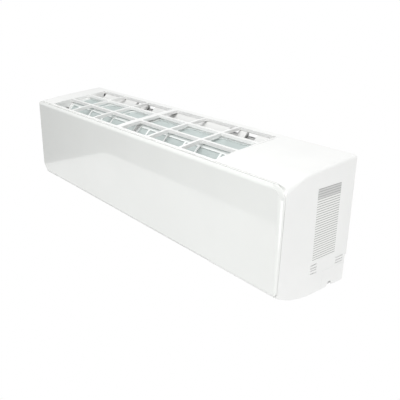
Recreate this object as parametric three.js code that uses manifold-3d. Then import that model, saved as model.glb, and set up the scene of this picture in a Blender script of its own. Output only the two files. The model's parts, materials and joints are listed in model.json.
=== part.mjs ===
// A wall-mounted mini split indoor unit, as an assembly of its separate pieces.
//
// Lengths are millimetres. X runs to the right seen from the front, Y runs towards the wall, Z is up.
// Outlines in the side view are lists of [depth, height]: depth counts from the face of the front panel
// towards the wall, and height counts from the lowest line of the case. The origin of the finished part
// is the centre of the mounting plate's back face, which lies on the wall.

import * as THREE from 'three';
import { mergeVertices } from 'three/addons/utils/BufferGeometryUtils.js';
import Module from 'manifold-3d';

const wasm = await Module();
wasm.setup();

// ---------------------------------------------------------------- driving dimensions

// Case
const CASE_WIDTH = 1100;
const CASE_DEPTH = 232;
const CASE_HEIGHT = 296;
const TOP_DROP = 27; // the top falls this much from the wall to the front
const TOP_BEND = 1.45; // exponent of that fall
const SHELL = 2.6; // moulded wall of the case
const END_ROUND = 7; // between the top and the ends
const FIT = 0.3; // gap between two pieces that rest on each other
const REAR_GAP = 0.8; // the case stops this far before the wall
const CHIN_DEPTH = 6.5; // front edge of the curved underside
const CHIN_HEIGHT = 36;
const CHIN_PULL = [38, 7]; // control point of the underside's curve
const BELLY_DEPTH = 105; // from here to the wall the underside is level
const FRONT_EDGE_DEPTH = 15; // front edge of the case at the top
const CHASSIS_FLOOR = 82; // the last stretch of the floor, which the chassis closes
const REAR_STEP = 6; // the case's low rear edge stands this much forward
const REAR_STEP_HEIGHT = 62;

// Front panel
const PANEL_BOTTOM = 36.5;
const PANEL_WALL = 3;
const PANEL_GAP = 1;
const HINGE_DEPTH = 9;
const HINGE_DROP = 35; // the hinge line lies this far under the case's highest line
const PANEL_ROUND = 9; // the panel's top edge is rounded about its hinge
const PANEL_BIG_CORNER = 38;
const PANEL_SMALL_CORNER = 5;
const PANEL_SIDE_ROUND_TOP = 11;
const PANEL_SIDE_ROUND_BOTTOM = 4;
const HINGE_INSET = 45; // from each end of the case
const HINGE_PIN = 2.5;
const HINGE_EAR = 5.4;
const HINGE_EAR_THICK = 4;

// Inlet grille and the bay under it, which the coil, the fan and the outlet share
const LEFT_ROOM = 81; // from the left end of the case to the bay
const RIGHT_ROOM = 215; // from the bay to the right end: motor, pipes and electrics
const GRILLE_FRONT = 32;
const GRILLE_BACK_RIM = 19; // from its last cells to the wall
const GRILLE_DEPTH = 9; // height of the ribs
const GRILLE_BAR = 14; // the two long bars
const GRILLE_RIB = 11; // the cross ribs
const GRILLE_DIVIDER = 24; // the wide rib between the two bays
const GRILLE_COLUMNS = 3;
const GRILLE_ROWS = 3;
const GRILLE_BORDER = 6;

// Fan
const FAN_CENTRE = [130, 118];
const FAN_RADIUS = 53;
const FAN_BLADES = 22;
const FAN_SEGMENTS = 3;
const FAN_END_GAP = 5;
const FAN_DISC = 2.4;
const BLADE_CHORD = 12;
const BLADE_THICK = 1.3;
const BLADE_LEAN = 9; // degrees that a blade's outer edge leads its inner edge
const SHAFT_RADIUS = 4;

// Coil
const COIL_THICK = 25;
const COIL_PATH = [[54, 78], [54, 160], [118, 246], [196, 168]];
const COIL_TRIM = [0, 4.5, 15, 0]; // how far the banks stop short of each bend of that line
const TUBE_RADIUS = 3.5;
const TUBE_PITCH = 25;
const TUBE_SHEET = 1.2;
const SHEET_BORDER = 1; // the end plates stand this far out round the fins

// Chassis
const CHASSIS_WALL = 3;
const WALL_ROOM = 16; // from the chassis's back wall to the wall of the room
const CHASSIS_HEAD_GAP = 1; // under the case's top
const CHASSIS_BACK_BOTTOM = 64;
const LIP = [106, 6.4]; // lower lip of the outlet
const THROAT_LENGTH = 62; // straight floor of the outlet duct
const DUCT_ANGLE = 42.7; // fall of the duct in degrees
const DUCT_HEIGHT = 64;
const TONGUE = 34; // the stabiliser's edge, this far up the duct from the lip
const SCROLL_TOP = 35; // degrees round the fan where the scroll starts
const SCROLL_END = -70; // and where it runs out into the duct's floor
const SCROLL_CLEAR_TOP = 6; // the scroll's distance from the fan at its top
const SCROLL_CLEAR_BOTTOM = 19;
const FLOOR_THICK = 3;
const PIPE_CHANNEL = 44; // the pipe channel under the back wall, from the wall forward
const BACK_RIB_INSET = 269; // webs behind the scroll, from each side of the bay
const OUTER_RIB_INSET = 18; // webs near the ends of the case
const BEARING_SEAT = 18;
const BEARING_LENGTH = 8;
const SADDLE = 3;

// Mounting plate
const PLATE_WIDTH = 660;
const PLATE_LOW = 82;
const PLATE_HIGH = 270;
const PLATE_STEEL = 1.2;
const PLATE_HOOK_X = [-250, 0, 250];
const PLATE_HOOK_WIDTH = 36;

// Louver
const LOUVER_AXIS = [84, 14];
const LOUVER_THICK = 2.6;
const LOUVER_PIN = 3;
const LOUVER_END_GAP = 1.2;
const LOUVER_MOTOR_RADIUS = 14;
const LOUVER_MOTOR_OFFSET = 8; // its shaft stands off its middle
const LOUVER_START = 0.035; // the louver fills this stretch of the underside's curve
const LOUVER_END = 0.945;

// Vanes
const VANES_PER_GANG = 6;
const VANE_FOOT = 30; // distance of the vane axis from the lip along the duct's floor
const VANE_THICK = 1.6;
const VANE_TOP = 58;
const VANE_SWING_ROOM = 0.5;
const VANE_PIN = 2.2;
const BED_THICK = 3;
const BED_WIDTH = 26;
const ROD_ARM = 26; // from the vane's axis to the link rod
const ROD_HEIGHT = 46;
const ROD_WIDTH = 5.6;
const ROD_THICK = 3.6;
const ROD_PIN = 1.2;

// Filters
const FILTER_FOOT = [25, 66];
const FILTER_SHOULDER_DROP = 98; // from the case's highest line to where the filter leans back
const FILTER_BEND = [88, 31]; // depth of the upper bend, and its distance under the highest line
const FILTER_END = [24, 13]; // the upper end's distances from the wall and under the highest line
const FILTER_ROUND = 22;
const FILTER_THICK = 2.2;
const FILTER_RIM = 9;
const FILTER_RIB = 2.6;
const FILTER_MESH = 0.6;
const FILTER_COLUMNS = 3;
const FILTER_ROWS = 6;
const FILTER_GAP = 8; // between the two filters
const FILTER_EDGE = 3; // from a filter to the side of the bay
const FILTER_RAIL = 2;
const FILTER_RAIL_WIDTH = 7;

// Motor
const MOTOR_RADIUS = 46;
const MOTOR_LENGTH = 58;
const MOTOR_START = 14; // from the bay to the motor's body
const RUBBER_RADIUS = 26;
const RUBBER_LENGTH = 9;
const BOSS_RADIUS = 18;

// Electrical box
const BOX_INSET = 12; // from the right end of the case
const BOX_WIDTH = 108;
const BOX_FRONT = 30;
const BOX_DEPTH = 120;
const BOX_LOW = 66;
const BOX_HIGH = 236;
const BOX_WALL = 2;
const SERVICE_WINDOW = { left: 198, right: 22, under: 6, over: 4 }; // from the case's end and past the box

// ---------------------------------------------------------------- values worked out from them

const HALF = CASE_WIDTH / 2;
const BAY_LEFT = LEFT_ROOM - HALF;
const BAY_RIGHT = HALF - RIGHT_ROOM;
const BAY_WIDTH = BAY_RIGHT - BAY_LEFT;
const BAY_MIDDLE = BAY_LEFT + BAY_WIDTH / 2;
const BELLY_END = CASE_DEPTH - CHASSIS_FLOOR; // the case's own floor ends here
const BACK_WALL_DEPTH = CASE_DEPTH - WALL_ROOM;
const CHANNEL_DEPTH = CASE_DEPTH - PIPE_CHANNEL;
const CHASSIS_TOP = CASE_HEIGHT - SHELL - CHASSIS_HEAD_GAP;
const BACK_RIBS = [BAY_LEFT + BACK_RIB_INSET, BAY_RIGHT - BACK_RIB_INSET];
const OUTER_RIBS = HALF - OUTER_RIB_INSET;
const GRILLE_REAR = CASE_DEPTH - GRILLE_BACK_RIM;
const PANEL_HINGE = [HINGE_DEPTH, CASE_HEIGHT - HINGE_DROP]; // depth and height of the hinge line
const HINGE_X = HALF - HINGE_INSET;
const BOX_RIGHT = HALF - BOX_INSET;
const BOX_LEFT = BOX_RIGHT - BOX_WIDTH;
const BOX_REAR = BOX_FRONT + BOX_DEPTH;
const FILTER_PATH = [
  FILTER_FOOT,
  [FILTER_FOOT[0], CASE_HEIGHT - FILTER_SHOULDER_DROP],
  [FILTER_BEND[0], CASE_HEIGHT - FILTER_BEND[1]],
  [CASE_DEPTH - FILTER_END[0], CASE_HEIGHT - FILTER_END[1]],
];
const PLATE_CENTRE = (PLATE_LOW + PLATE_HIGH) / 2;
const DEGREE = Math.PI / 180;
const UPSTREAM = [Math.cos(DUCT_ANGLE * DEGREE), Math.sin(DUCT_ANGLE * DEGREE)];
const DUCT_UP = [-UPSTREAM[1], UPSTREAM[0]];
const SIDE_WALL_LEFT = BAY_LEFT - CHASSIS_WALL;
const SIDE_WALL_RIGHT = BAY_RIGHT + CHASSIS_WALL;

const topHeight = (depth) => CASE_HEIGHT - TOP_DROP * Math.max(0, 1 - depth / CASE_DEPTH) ** TOP_BEND;

const caseFront = (height) =>
  CHIN_DEPTH +
  ((FRONT_EDGE_DEPTH - CHIN_DEPTH) * (height - CHIN_HEIGHT)) / (topHeight(FRONT_EDGE_DEPTH) - CHIN_HEIGHT);

const chinCurve = new THREE.QuadraticBezierCurve(
  new THREE.Vector2(CHIN_DEPTH, CHIN_HEIGHT),
  new THREE.Vector2(...CHIN_PULL),
  new THREE.Vector2(BELLY_DEPTH, 0),
);

// ---------------------------------------------------------------- materials

function finish(color, roughness, metalness = 0) {
  return () => new THREE.MeshStandardMaterial({ color, roughness, metalness });
}

const whiteCase = finish(0xf4f4f1, 0.38);
const glossWhite = finish(0xeef0ef, 0.12);
const chassisPlastic = finish(0xe9e9e4, 0.5);
const filterPlastic = finish(0xe4e9e8, 0.5);
const filterMeshGrey = finish(0x8d9896, 0.7);
const steel = finish(0xb9bcbe, 0.35, 0.9);
const fin = finish(0xc7cbcc, 0.35, 0.85);
const copper = finish(0xb87350, 0.35, 0.9);
const brass = finish(0xc2a35a, 0.35, 0.9);
const darkPlastic = finish(0x2f3234, 0.6);
const rubber = finish(0x1f1f20, 0.85);
const board = finish(0x2d6b43, 0.5);
const foamPan = finish(0xdedfdc, 0.6);

// ---------------------------------------------------------------- working with solids

function toSolid(geometry) {
  const bare = geometry.clone();
  bare.deleteAttribute('normal');
  bare.deleteAttribute('uv');
  const merged = mergeVertices(bare, 1e-4);
  return new wasm.Manifold(new wasm.Mesh({
    numProp: 3,
    vertProperties: new Float32Array(merged.attributes.position.array),
    triVerts: new Uint32Array(merged.index.array),
  }));
}

const joined = (...solids) => solids.flat().reduce((whole, next) => whole.add(next));

const cut = (whole, ...tools) => tools.flat().reduce((left, tool) => left.subtract(tool), whole);

function toMesh(name, solid, material) {
  const { vertProperties, triVerts } = solid.getMesh();
  const geometry = new THREE.BufferGeometry();
  geometry.setAttribute('position', new THREE.BufferAttribute(vertProperties, 3));
  geometry.setIndex(new THREE.BufferAttribute(triVerts, 1));
  geometry.computeVertexNormals();
  const mesh = new THREE.Mesh(geometry, material());
  mesh.name = name;
  return mesh;
}

// ---------------------------------------------------------------- outlines

const plus = (a, b, scale = 1) => [a[0] + b[0] * scale, a[1] + b[1] * scale];

const unitVector = (from, to) => {
  const length = Math.hypot(to[0] - from[0], to[1] - from[1]);
  return [(to[0] - from[0]) / length, (to[1] - from[1]) / length];
};

const count = (n) => Array.from({ length: n }, (_, i) => i);

const curvePoints = (curve, steps) => curve.getPoints(steps).map((p) => [p.x, p.y]);

// Points on a circle, from one angle to another in degrees
function arc(centre, radius, from, to, steps) {
  return count(steps + 1).map((i) => {
    const angle = (from + ((to - from) * i) / steps) * DEGREE;
    return [centre[0] + radius * Math.cos(angle), centre[1] + radius * Math.sin(angle)];
  });
}

const circle = (centre, radius, sides) => arc(centre, radius, 0, 360 - 360 / sides, sides - 1);

// A line or loop of [a, b, radius] corners with each corner rounded
function rounded(corners, { closed = true, steps = 3 } = {}) {
  const last = corners.length - 1;
  return corners.flatMap(([a, b, radius = 0], i) => {
    const here = [a, b];
    if (!radius || (!closed && (i === 0 || i === last))) return [here];
    const back = unitVector(here, corners[i === 0 ? last : i - 1]);
    const on = unitVector(here, corners[i === last ? 0 : i + 1]);
    const half = Math.acos(back[0] * on[0] + back[1] * on[1]) / 2;
    const start = plus(here, back, radius / Math.tan(half));
    const end = plus(here, on, radius / Math.tan(half));
    const middle = plus(here, unitVector([0, 0], plus(back, on)), radius / Math.sin(half));
    const first = Math.atan2(start[1] - middle[1], start[0] - middle[0]) / DEGREE;
    const turn = (((Math.atan2(end[1] - middle[1], end[0] - middle[0]) / DEGREE - first + 540) % 360) - 180);
    return arc(middle, radius, first, first + turn, steps);
  });
}

const rectangle = (a0, a1, b0, b1, radius = 0) =>
  rounded([[a0, b0, radius], [a1, b0, radius], [a1, b1, radius], [a0, b1, radius]], { steps: 2 });

// A line moved sideways, to the left of its direction of travel
function beside(path, distance) {
  return path.map((here, i) => {
    const on = unitVector(i < path.length - 1 ? here : path[i - 1], i < path.length - 1 ? path[i + 1] : here);
    const back = i > 0 ? unitVector(path[i - 1], here) : on;
    const normal = plus([-back[1], back[0]], [-on[1], on[0]]);
    const length = Math.hypot(...normal);
    const reach = (2 * distance) / (length * length);
    return plus(here, normal, reach);
  });
}

// A sheet of even thickness along a line
const band = (path, thickness) => [...path, ...beside(path, thickness).reverse()];

// ---------------------------------------------------------------- solids from outlines

function extruded(outline, length, basis, position) {
  const shape = new THREE.Shape(outline.map(([a, b]) => new THREE.Vector2(a, b)));
  const geometry = new THREE.ExtrudeGeometry(shape, { depth: length, bevelEnabled: false });
  const matrix = new THREE.Matrix4().makeBasis(...basis.map((axis) => new THREE.Vector3(...axis)));
  matrix.setPosition(...position);
  return toSolid(geometry.applyMatrix4(matrix));
}

// Side-view outline of [depth, height], from one X to another
const sidePrism = (outline, x0, x1) =>
  extruded(outline, x1 - x0, [[0, 1, 0], [0, 0, 1], [1, 0, 0]], [x0, -CASE_DEPTH, 0]);

// Front-view outline of [x, height], from one depth to another
const frontPrism = (outline, depth0, depth1) =>
  extruded(outline, depth1 - depth0, [[1, 0, 0], [0, 0, 1], [0, -1, 0]], [0, depth1 - CASE_DEPTH, 0]);

// Top-view outline of [x, depth], from one height to another
const planPrism = (outline, height0, height1) =>
  extruded(outline, height1 - height0, [[1, 0, 0], [0, 1, 0], [0, 0, 1]], [0, -CASE_DEPTH, height0]);

const block = (x0, x1, depth0, depth1, height0, height1) =>
  sidePrism([[depth0, height0], [depth1, height0], [depth1, height1], [depth0, height1]], x0, x1);

const cylinderX = (radius, x0, x1, centre, sides = 20) => sidePrism(circle(centre, radius, sides), x0, x1);

// A turned piece: [radius, x] points about a line along X
function turnedX(profile, centre, sides = 24) {
  const geometry = new THREE.LatheGeometry(profile.map(([r, x]) => new THREE.Vector2(r, x)), sides);
  const matrix = new THREE.Matrix4().makeBasis(
    new THREE.Vector3(0, 0, 1),
    new THREE.Vector3(1, 0, 0),
    new THREE.Vector3(0, 1, 0),
  );
  matrix.setPosition(0, centre[0] - CASE_DEPTH, centre[1]);
  return toSolid(geometry.applyMatrix4(matrix));
}

// A solid through outlines with the same number of points, each at its own place
function loft(loops) {
  const size = loops[0].length;
  const positions = loops.flat(2);
  const index = [];
  for (let ring = 0; ring < loops.length - 1; ring += 1) {
    for (let i = 0; i < size; i += 1) {
      const a = ring * size + i;
      const b = ring * size + ((i + 1) % size);
      index.push(a, b, a + size, b, b + size, a + size);
    }
  }
  const flat = (loop, drop) => loop.map((p) => new THREE.Vector2(...p.filter((_, axis) => axis !== drop)));
  const drop = [0, 1, 2].find((axis) => loops[0].every((p) => Math.abs(p[axis] - loops[0][0][axis]) < 1e-9));
  const last = (loops.length - 1) * size;
  for (const [a, b, c] of THREE.ShapeUtils.triangulateShape(flat(loops[0], drop), [])) {
    index.push(c, b, a);
    index.push(last + a, last + b, last + c);
  }
  const geometry = new THREE.BufferGeometry();
  geometry.setAttribute('position', new THREE.Float32BufferAttribute(positions, 3));
  geometry.setIndex(index);
  const solid = toSolid(geometry);
  if (solid.volume() > 0) return solid;
  geometry.setIndex(index.reverse());
  return toSolid(geometry);
}

// A round bar along a smooth line through [x, depth, height] points
function tube(points, radius, steps, sides) {
  const path = new THREE.CatmullRomCurve3(
    points.map(([x, depth, height]) => new THREE.Vector3(x, depth - CASE_DEPTH, height)),
    false,
    'centripetal',
  );
  const section = new THREE.Shape(circle([0, 0], radius, sides).map(([a, b]) => new THREE.Vector2(a, b)));
  return toSolid(new THREE.ExtrudeGeometry(section, { steps, extrudePath: path, bevelEnabled: false }));
}

// ---------------------------------------------------------------- front case

// The case in the side view; topInset lowers the top line and rear is where it ends
function caseSection(topInset, rear, steps = 8) {
  const topRun = count(steps + 1).map((i) => {
    const depth = rear + ((FRONT_EDGE_DEPTH - rear) * i) / steps;
    return [depth, topHeight(depth) - topInset];
  });
  return [...curvePoints(chinCurve, steps), [rear, 0], ...topRun];
}

function caseBody() {
  const rear = CASE_DEPTH - REAR_GAP;
  const angles = [0, 30, 60, 90];
  const right = angles.map((angle) => ({
    x: HALF - END_ROUND * (1 - Math.cos(angle * DEGREE)),
    inset: END_ROUND * (1 - Math.sin(angle * DEGREE)),
  }));
  const stations = [...right.map(({ x, inset }) => ({ x: -x, inset })), ...right.reverse()];
  return loft(stations.map(({ x, inset }) =>
    caseSection(inset, rear).map(([d, h]) => [x, d - CASE_DEPTH, h])));
}

// The hollow runs on past the wall, so that the back stays open
function caseHollow() {
  const section = (extra) => {
    const outline = caseSection(extra, CASE_DEPTH + END_ROUND);
    return beside([...outline, outline[0]], SHELL).slice(0, -1);
  };
  const reach = HALF - SHELL;
  const stations = [
    [-reach, END_ROUND - SHELL],
    [-reach + END_ROUND - SHELL, 0],
    [reach - END_ROUND + SHELL, 0],
    [reach, END_ROUND - SHELL],
  ];
  return loft(stations.map(([x, extra]) => section(extra).map(([d, h]) => [x, d - CASE_DEPTH, h])));
}

function grilleBlock() {
  const steps = 6;
  const front = GRILLE_FRONT - GRILLE_BORDER;
  const rear = Math.min(GRILLE_REAR + GRILLE_BORDER, BACK_WALL_DEPTH - FIT);
  const line = count(steps + 1).map((i) => {
    const depth = front + ((rear - front) * i) / steps;
    return [depth, topHeight(depth) - SHELL / 2];
  });
  const low = line.map(([depth, height]) => [depth, height + SHELL / 2 - GRILLE_DEPTH]);
  return sidePrism([...line, ...low.reverse()], BAY_LEFT - GRILLE_BORDER, BAY_RIGHT + GRILLE_BORDER);
}

function grilleCells() {
  const bay = (BAY_WIDTH - GRILLE_DIVIDER) / 2;
  const cellWidth = (bay - GRILLE_RIB * (GRILLE_COLUMNS - 1)) / GRILLE_COLUMNS;
  const cellDepth = (GRILLE_REAR - GRILLE_FRONT - GRILLE_BAR * (GRILLE_ROWS - 1)) / GRILLE_ROWS;
  const cells = [];
  for (const start of [BAY_LEFT, BAY_LEFT + bay + GRILLE_DIVIDER]) {
    for (let column = 0; column < GRILLE_COLUMNS; column += 1) {
      for (let row = 0; row < GRILLE_ROWS; row += 1) {
        const x = start + column * (cellWidth + GRILLE_RIB);
        const depth = GRILLE_FRONT + row * (cellDepth + GRILLE_BAR);
        const low = topHeight(depth) - GRILLE_DEPTH - 2;
        cells.push(block(x, x + cellWidth, depth, depth + cellDepth, low, CASE_HEIGHT + 1));
      }
    }
  }
  return cells;
}

const CASE_SCREW_INSET = 49; // from the sides of the bay
const CASE_SCREW_X = [BAY_LEFT + CASE_SCREW_INSET, BAY_MIDDLE, BAY_RIGHT - CASE_SCREW_INSET];
const CASE_SCREW_HEIGHT = 53;
const FILTER_DOOR_LOW = 62;
const FILTER_DOOR_HIGH = PANEL_HINGE[1] - 7; // up to the groove that the panel turns in
const CHIN_RAIL = 44; // the case's front wall starts here over the outlet
const BOX_WINDOW = [
  HALF - SERVICE_WINDOW.left,
  HALF - SERVICE_WINDOW.right,
  BOX_LOW - SERVICE_WINDOW.under,
  BOX_HIGH - SERVICE_WINDOW.over,
];

function hingeEar(side) {
  const [depth, height] = PANEL_HINGE;
  const neck = [
    ...arc(PANEL_HINGE, HINGE_EAR, 20, 200, 5),
    [depth - 1.5, height - 8],
    [depth + 6, height - 22],
    [depth + 12, height - 22],
  ];
  const x = HINGE_X + HINGE_EAR_THICK / 2 + PANEL_GAP;
  const [x0, x1] = side > 0 ? [x, x + HINGE_EAR_THICK] : [-x - HINGE_EAR_THICK, -x];
  return cut(sidePrism(neck, x0, x1), cylinderX(HINGE_PIN + 2 * FIT, x0 - 1, x1 + 1, PANEL_HINGE, 16));
}

// The guides that the filters slide in: they follow the filters and end in a stop on the lower rail
function filterRails() {
  const line = beside(filterLine(), FILTER_THICK + FIT);
  const foot = FILTER_PATH[0];
  return [BAY_LEFT, BAY_MIDDLE - FILTER_RAIL_WIDTH / 2, BAY_RIGHT - FILTER_RAIL_WIDTH].map((x) => joined(
    sidePrism(band(line, FILTER_RAIL), x, x + FILTER_RAIL_WIDTH),
    block(
      x,
      x + FILTER_RAIL_WIDTH,
      caseFront(foot[1]) + 1,
      foot[0] + 1,
      CASE_SCREW_HEIGHT + 6.6,
      foot[1] - FIT,
    ),
  ));
}

const KNOCKOUT = [BELLY_END, CASE_DEPTH - REAR_STEP, 0, 46]; // depth and height range of the pipe cover
const SLIT_HEIGHT = 1.6;

// The short slits in the right end, in two groups
function endSlits() {
  const groups = [
    { from: 107, to: 128, heights: [70, 63, 57, 50] },
    { from: 192, to: 219, heights: [64, 57, 50.5] },
  ];
  return groups.flatMap(({ from, to, heights }) => heights.map((height) =>
    block(HALF - SHELL - 1, HALF + 1, from, to, height, height + SLIT_HEIGHT)));
}

function frontCase() {
  const hingeSweep = cylinderX(PANEL_ROUND + PANEL_GAP, -HALF - 1, HALF + 1, PANEL_HINGE, 28);
  const hollow = caseHollow();
  const rearStep = block(-HALF - 1, HALF + 1, CASE_DEPTH - REAR_STEP, CASE_DEPTH + 1, -1, REAR_STEP_HEIGHT);
  const outletEnds = [BAY_LEFT - LOUVER_END_GAP, BAY_RIGHT + LOUVER_END_GAP];
  const outlet = block(...outletEnds, -1, LIP[0] - 3.6, -1, CHIN_RAIL);
  const floorRear = block(-HALF + SHELL, HALF - SHELL, BELLY_END, CASE_DEPTH + 1, -1, SHELL + 1);
  const filterDoor = frontPrism(
    rectangle(BAY_LEFT - 6, BAY_RIGHT + 6, FILTER_DOOR_LOW, FILTER_DOOR_HIGH, 6),
    0,
    GRILLE_FRONT - 8,
  );
  const [wx0, wx1, wz0, wz1] = BOX_WINDOW;
  const boxWindow = frontPrism(rectangle(wx0, wx1, wz0, wz1, 6), 0, GRILLE_FRONT - 8);
  const [kd0, kd1, kh0, kh1] = KNOCKOUT;
  const knockouts = block(-HALF - 1, HALF + 1, kd0, kd1 + REAR_STEP + 1, kh0 - 1, kh1);
  let shell = cut(caseBody(), hollow).add(grilleBlock());
  shell = cut(shell, grilleCells(), hingeSweep, rearStep, outlet, floorRear);
  shell = cut(shell, filterDoor, boxWindow, knockouts);
  const screwHoles = CASE_SCREW_X.map((x) => frontPrism(circle([x, CASE_SCREW_HEIGHT], 2.2, 10), 0, 12));
  shell = joined(cut(shell, screwHoles), hingeEar(1), hingeEar(-1), filterRails());
  return toMesh('front_case', cut(shell, endSlits()), whiteCase);
}

// The snap-out cover over the pipe exit in one end
function pipeKnockout(name, side) {
  const [d0, d1, h0, h1] = KNOCKOUT;
  const x0 = side > 0 ? HALF - SHELL : -HALF;
  const plate = block(x0, x0 + SHELL, d0 + FIT, d1, h0, h1 - FIT);
  const inner = side > 0 ? [x0 - 4, x0 + 1] : [x0 + SHELL - 1, x0 + SHELL + 4];
  const ribs = [0.2, 0.5, 0.8].map((share) => {
    const depth = d0 + (d1 - d0) * share;
    return block(...inner, depth - 0.8, depth + 0.8, h0 + 4, h1 - 4);
  });
  const notch = cylinderX(9, x0 - 6, x0 + 8, [d0 + (d1 - d0) * 0.37, h0 + 2], 16);
  return toMesh(name, cut(joined(plate, ribs), notch), whiteCase);
}

// ---------------------------------------------------------------- front panel

function panelFrontOutline(inset) {
  const big = PANEL_BIG_CORNER - inset;
  const small = Math.max(PANEL_SMALL_CORNER - inset, 1);
  const top = PANEL_HINGE[1] + PANEL_ROUND;
  return rounded([
    [-HALF + inset, PANEL_BOTTOM + inset, big],
    [HALF - inset, PANEL_BOTTOM + inset, small],
    [HALF - inset, top - inset, big],
    [-HALF + inset, top - inset, small],
  ], { steps: 6 });
}

function panelSideOutline() {
  const low = caseFront(PANEL_BOTTOM) - PANEL_GAP;
  const high = PANEL_HINGE[1] - PANEL_ROUND - 4;
  return [
    [0, PANEL_BOTTOM],
    [low, PANEL_BOTTOM],
    [caseFront(high) - PANEL_GAP, high],
    ...arc(PANEL_HINGE, PANEL_ROUND, -60, 180, 12),
  ];
}

// Plan of the panel's rounded side edges, wider at the bottom than at the top
function panelPlan() {
  const top = PANEL_HINGE[1] + PANEL_ROUND + 1;
  const loop = (radius, height) => rounded([
    [-HALF, 0, radius],
    [HALF, 0, radius],
    [HALF, 30],
    [-HALF, 30],
  ], { steps: 5 }).map(([x, depth]) => [x, depth - CASE_DEPTH, height]);
  return loft([loop(PANEL_SIDE_ROUND_BOTTOM, PANEL_BOTTOM - 1), loop(PANEL_SIDE_ROUND_TOP, top)]);
}

function panelHollow() {
  const inner = PANEL_ROUND - PANEL_WALL;
  const far = 40;
  const section = [
    [PANEL_WALL, PANEL_BOTTOM - 1],
    ...arc(PANEL_HINGE, inner, 180, 60, 6),
    plus(PANEL_HINGE, [Math.cos(60 * DEGREE), Math.sin(60 * DEGREE)], PANEL_ROUND + 4),
    [far, PANEL_HINGE[1] + PANEL_ROUND + 4],
    [far, PANEL_BOTTOM - 1],
  ];
  const shape = frontPrism(panelFrontOutline(PANEL_WALL), -1, far);
  return sidePrism(section, -HALF, HALF).intersect(shape);
}

function panelLug(side) {
  const [depth, height] = PANEL_HINGE;
  const x0 = HINGE_X - HINGE_EAR_THICK / 2;
  const reach = HINGE_EAR_THICK + PANEL_GAP + HINGE_EAR_THICK;
  const lug = [
    [PANEL_WALL - 1, height - 9],
    [depth, height - 4.6],
    ...arc(PANEL_HINGE, 4.6, -60, 90, 4),
    [PANEL_WALL - 1, height + 4.6],
  ];
  const [a0, a1] = side > 0 ? [x0, x0 + HINGE_EAR_THICK] : [-x0 - HINGE_EAR_THICK, -x0];
  const [b0, b1] = side > 0 ? [x0 + 1, x0 + reach] : [-x0 - reach, -x0 - 1];
  return joined(sidePrism(lug, a0, a1), cylinderX(HINGE_PIN, b0, b1, PANEL_HINGE, 16));
}

function frontPanel() {
  const outer = sidePrism(panelSideOutline(), -HALF, HALF)
    .intersect(frontPrism(panelFrontOutline(0), -1, 40))
    .intersect(panelPlan());
  const shell = cut(outer, panelHollow());
  return toMesh('front_panel', joined(shell, panelLug(1), panelLug(-1)), glossWhite);
}

// ---------------------------------------------------------------- rear chassis

const scrollRadius = (angle) =>
  FAN_RADIUS + SCROLL_CLEAR_TOP +
  ((SCROLL_CLEAR_BOTTOM - SCROLL_CLEAR_TOP) * (SCROLL_TOP - angle)) / (SCROLL_TOP - SCROLL_END);

// The inner face of the scroll and the outlet's floor, from the gutter's edge to the lower lip
function scrollPath(steps = 9) {
  const turn = count(steps + 1).map((i) => {
    const angle = SCROLL_TOP + ((SCROLL_END - SCROLL_TOP) * i) / steps;
    const radius = scrollRadius(angle);
    const turn = angle * DEGREE;
    return [FAN_CENTRE[0] + radius * Math.cos(turn), FAN_CENTRE[1] + radius * Math.sin(turn)];
  });
  return [[turn[0][0], turn[0][1] + 10], ...turn, plus(LIP, UPSTREAM, THROAT_LENGTH - 4), LIP];
}

// A flat web across the unit, from the scroll's outside to the back wall and round the pipe channel
function backWeb(x0, x1, front = LIP[0] + 6) {
  const low = SHELL + FIT;
  const web = [
    [front, low],
    [CHANNEL_DEPTH, low],
    [CHANNEL_DEPTH, CHASSIS_BACK_BOTTOM],
    [BACK_WALL_DEPTH + 1, CHASSIS_BACK_BOTTOM],
    [BACK_WALL_DEPTH + 1, 164],
    [182, 150],
    [150, 150],
    [front, 8],
  ];
  return sidePrism(web, x0, x1);
}

// The wall at one side of the fan, inside the bend of the coil
function fanSideWall(x0) {
  const chin = beside(curvePoints(chinCurve, 10), SHELL + FIT + 0.4).slice(2);
  const coilFace = COIL_PATH[0][0] + COIL_THICK / 2 + SHEET_BORDER + FIT;
  const outline = [
    ...chin,
    [150, SHELL + FIT],
    [165, 48],
    [182, 60],
    [197, 110],
    [190, 150],
    [176, 161],
    [125, 208],
    [112, 204],
    [coilFace, 150],
    [coilFace, 74],
    [30, 74],
    [22, 44],
  ];
  return sidePrism(outline, x0, x0 + CHASSIS_WALL);
}

function backWall() {
  const reach = HALF - SHELL - FIT;
  const wall = frontPrism(
    rectangle(-reach, reach, CHASSIS_BACK_BOTTOM, CHASSIS_TOP - END_ROUND, 4),
    BACK_WALL_DEPTH,
    BACK_WALL_DEPTH + CHASSIS_WALL,
  );
  const slots = PLATE_HOOK_X.map((x) => block(
    x - PLATE_HOOK_WIDTH / 2 - 3,
    x + PLATE_HOOK_WIDTH / 2 + 3,
    BACK_WALL_DEPTH - 1,
    BACK_WALL_DEPTH + CHASSIS_WALL + 1,
    PLATE_HIGH - 10,
    PLATE_HIGH + FIT,
  ));
  const ends = [-1, 1].map((side) => {
    const x = side > 0 ? reach - CHASSIS_WALL : -reach;
    return block(x, x + CHASSIS_WALL, 190, CASE_DEPTH - 1, CHASSIS_BACK_BOTTOM, CHASSIS_TOP - END_ROUND);
  });
  const top = block(
    -reach + END_ROUND,
    reach - END_ROUND,
    BACK_WALL_DEPTH,
    CASE_DEPTH - 2,
    CHASSIS_TOP - CHASSIS_WALL,
    CHASSIS_TOP,
  );
  const riser = block(
    -reach + END_ROUND,
    reach - END_ROUND,
    BACK_WALL_DEPTH,
    BACK_WALL_DEPTH + CHASSIS_WALL,
    CHASSIS_TOP - END_ROUND - 1,
    CHASSIS_TOP,
  );
  return joined(cut(wall, slots), ends, top, riser);
}

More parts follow.
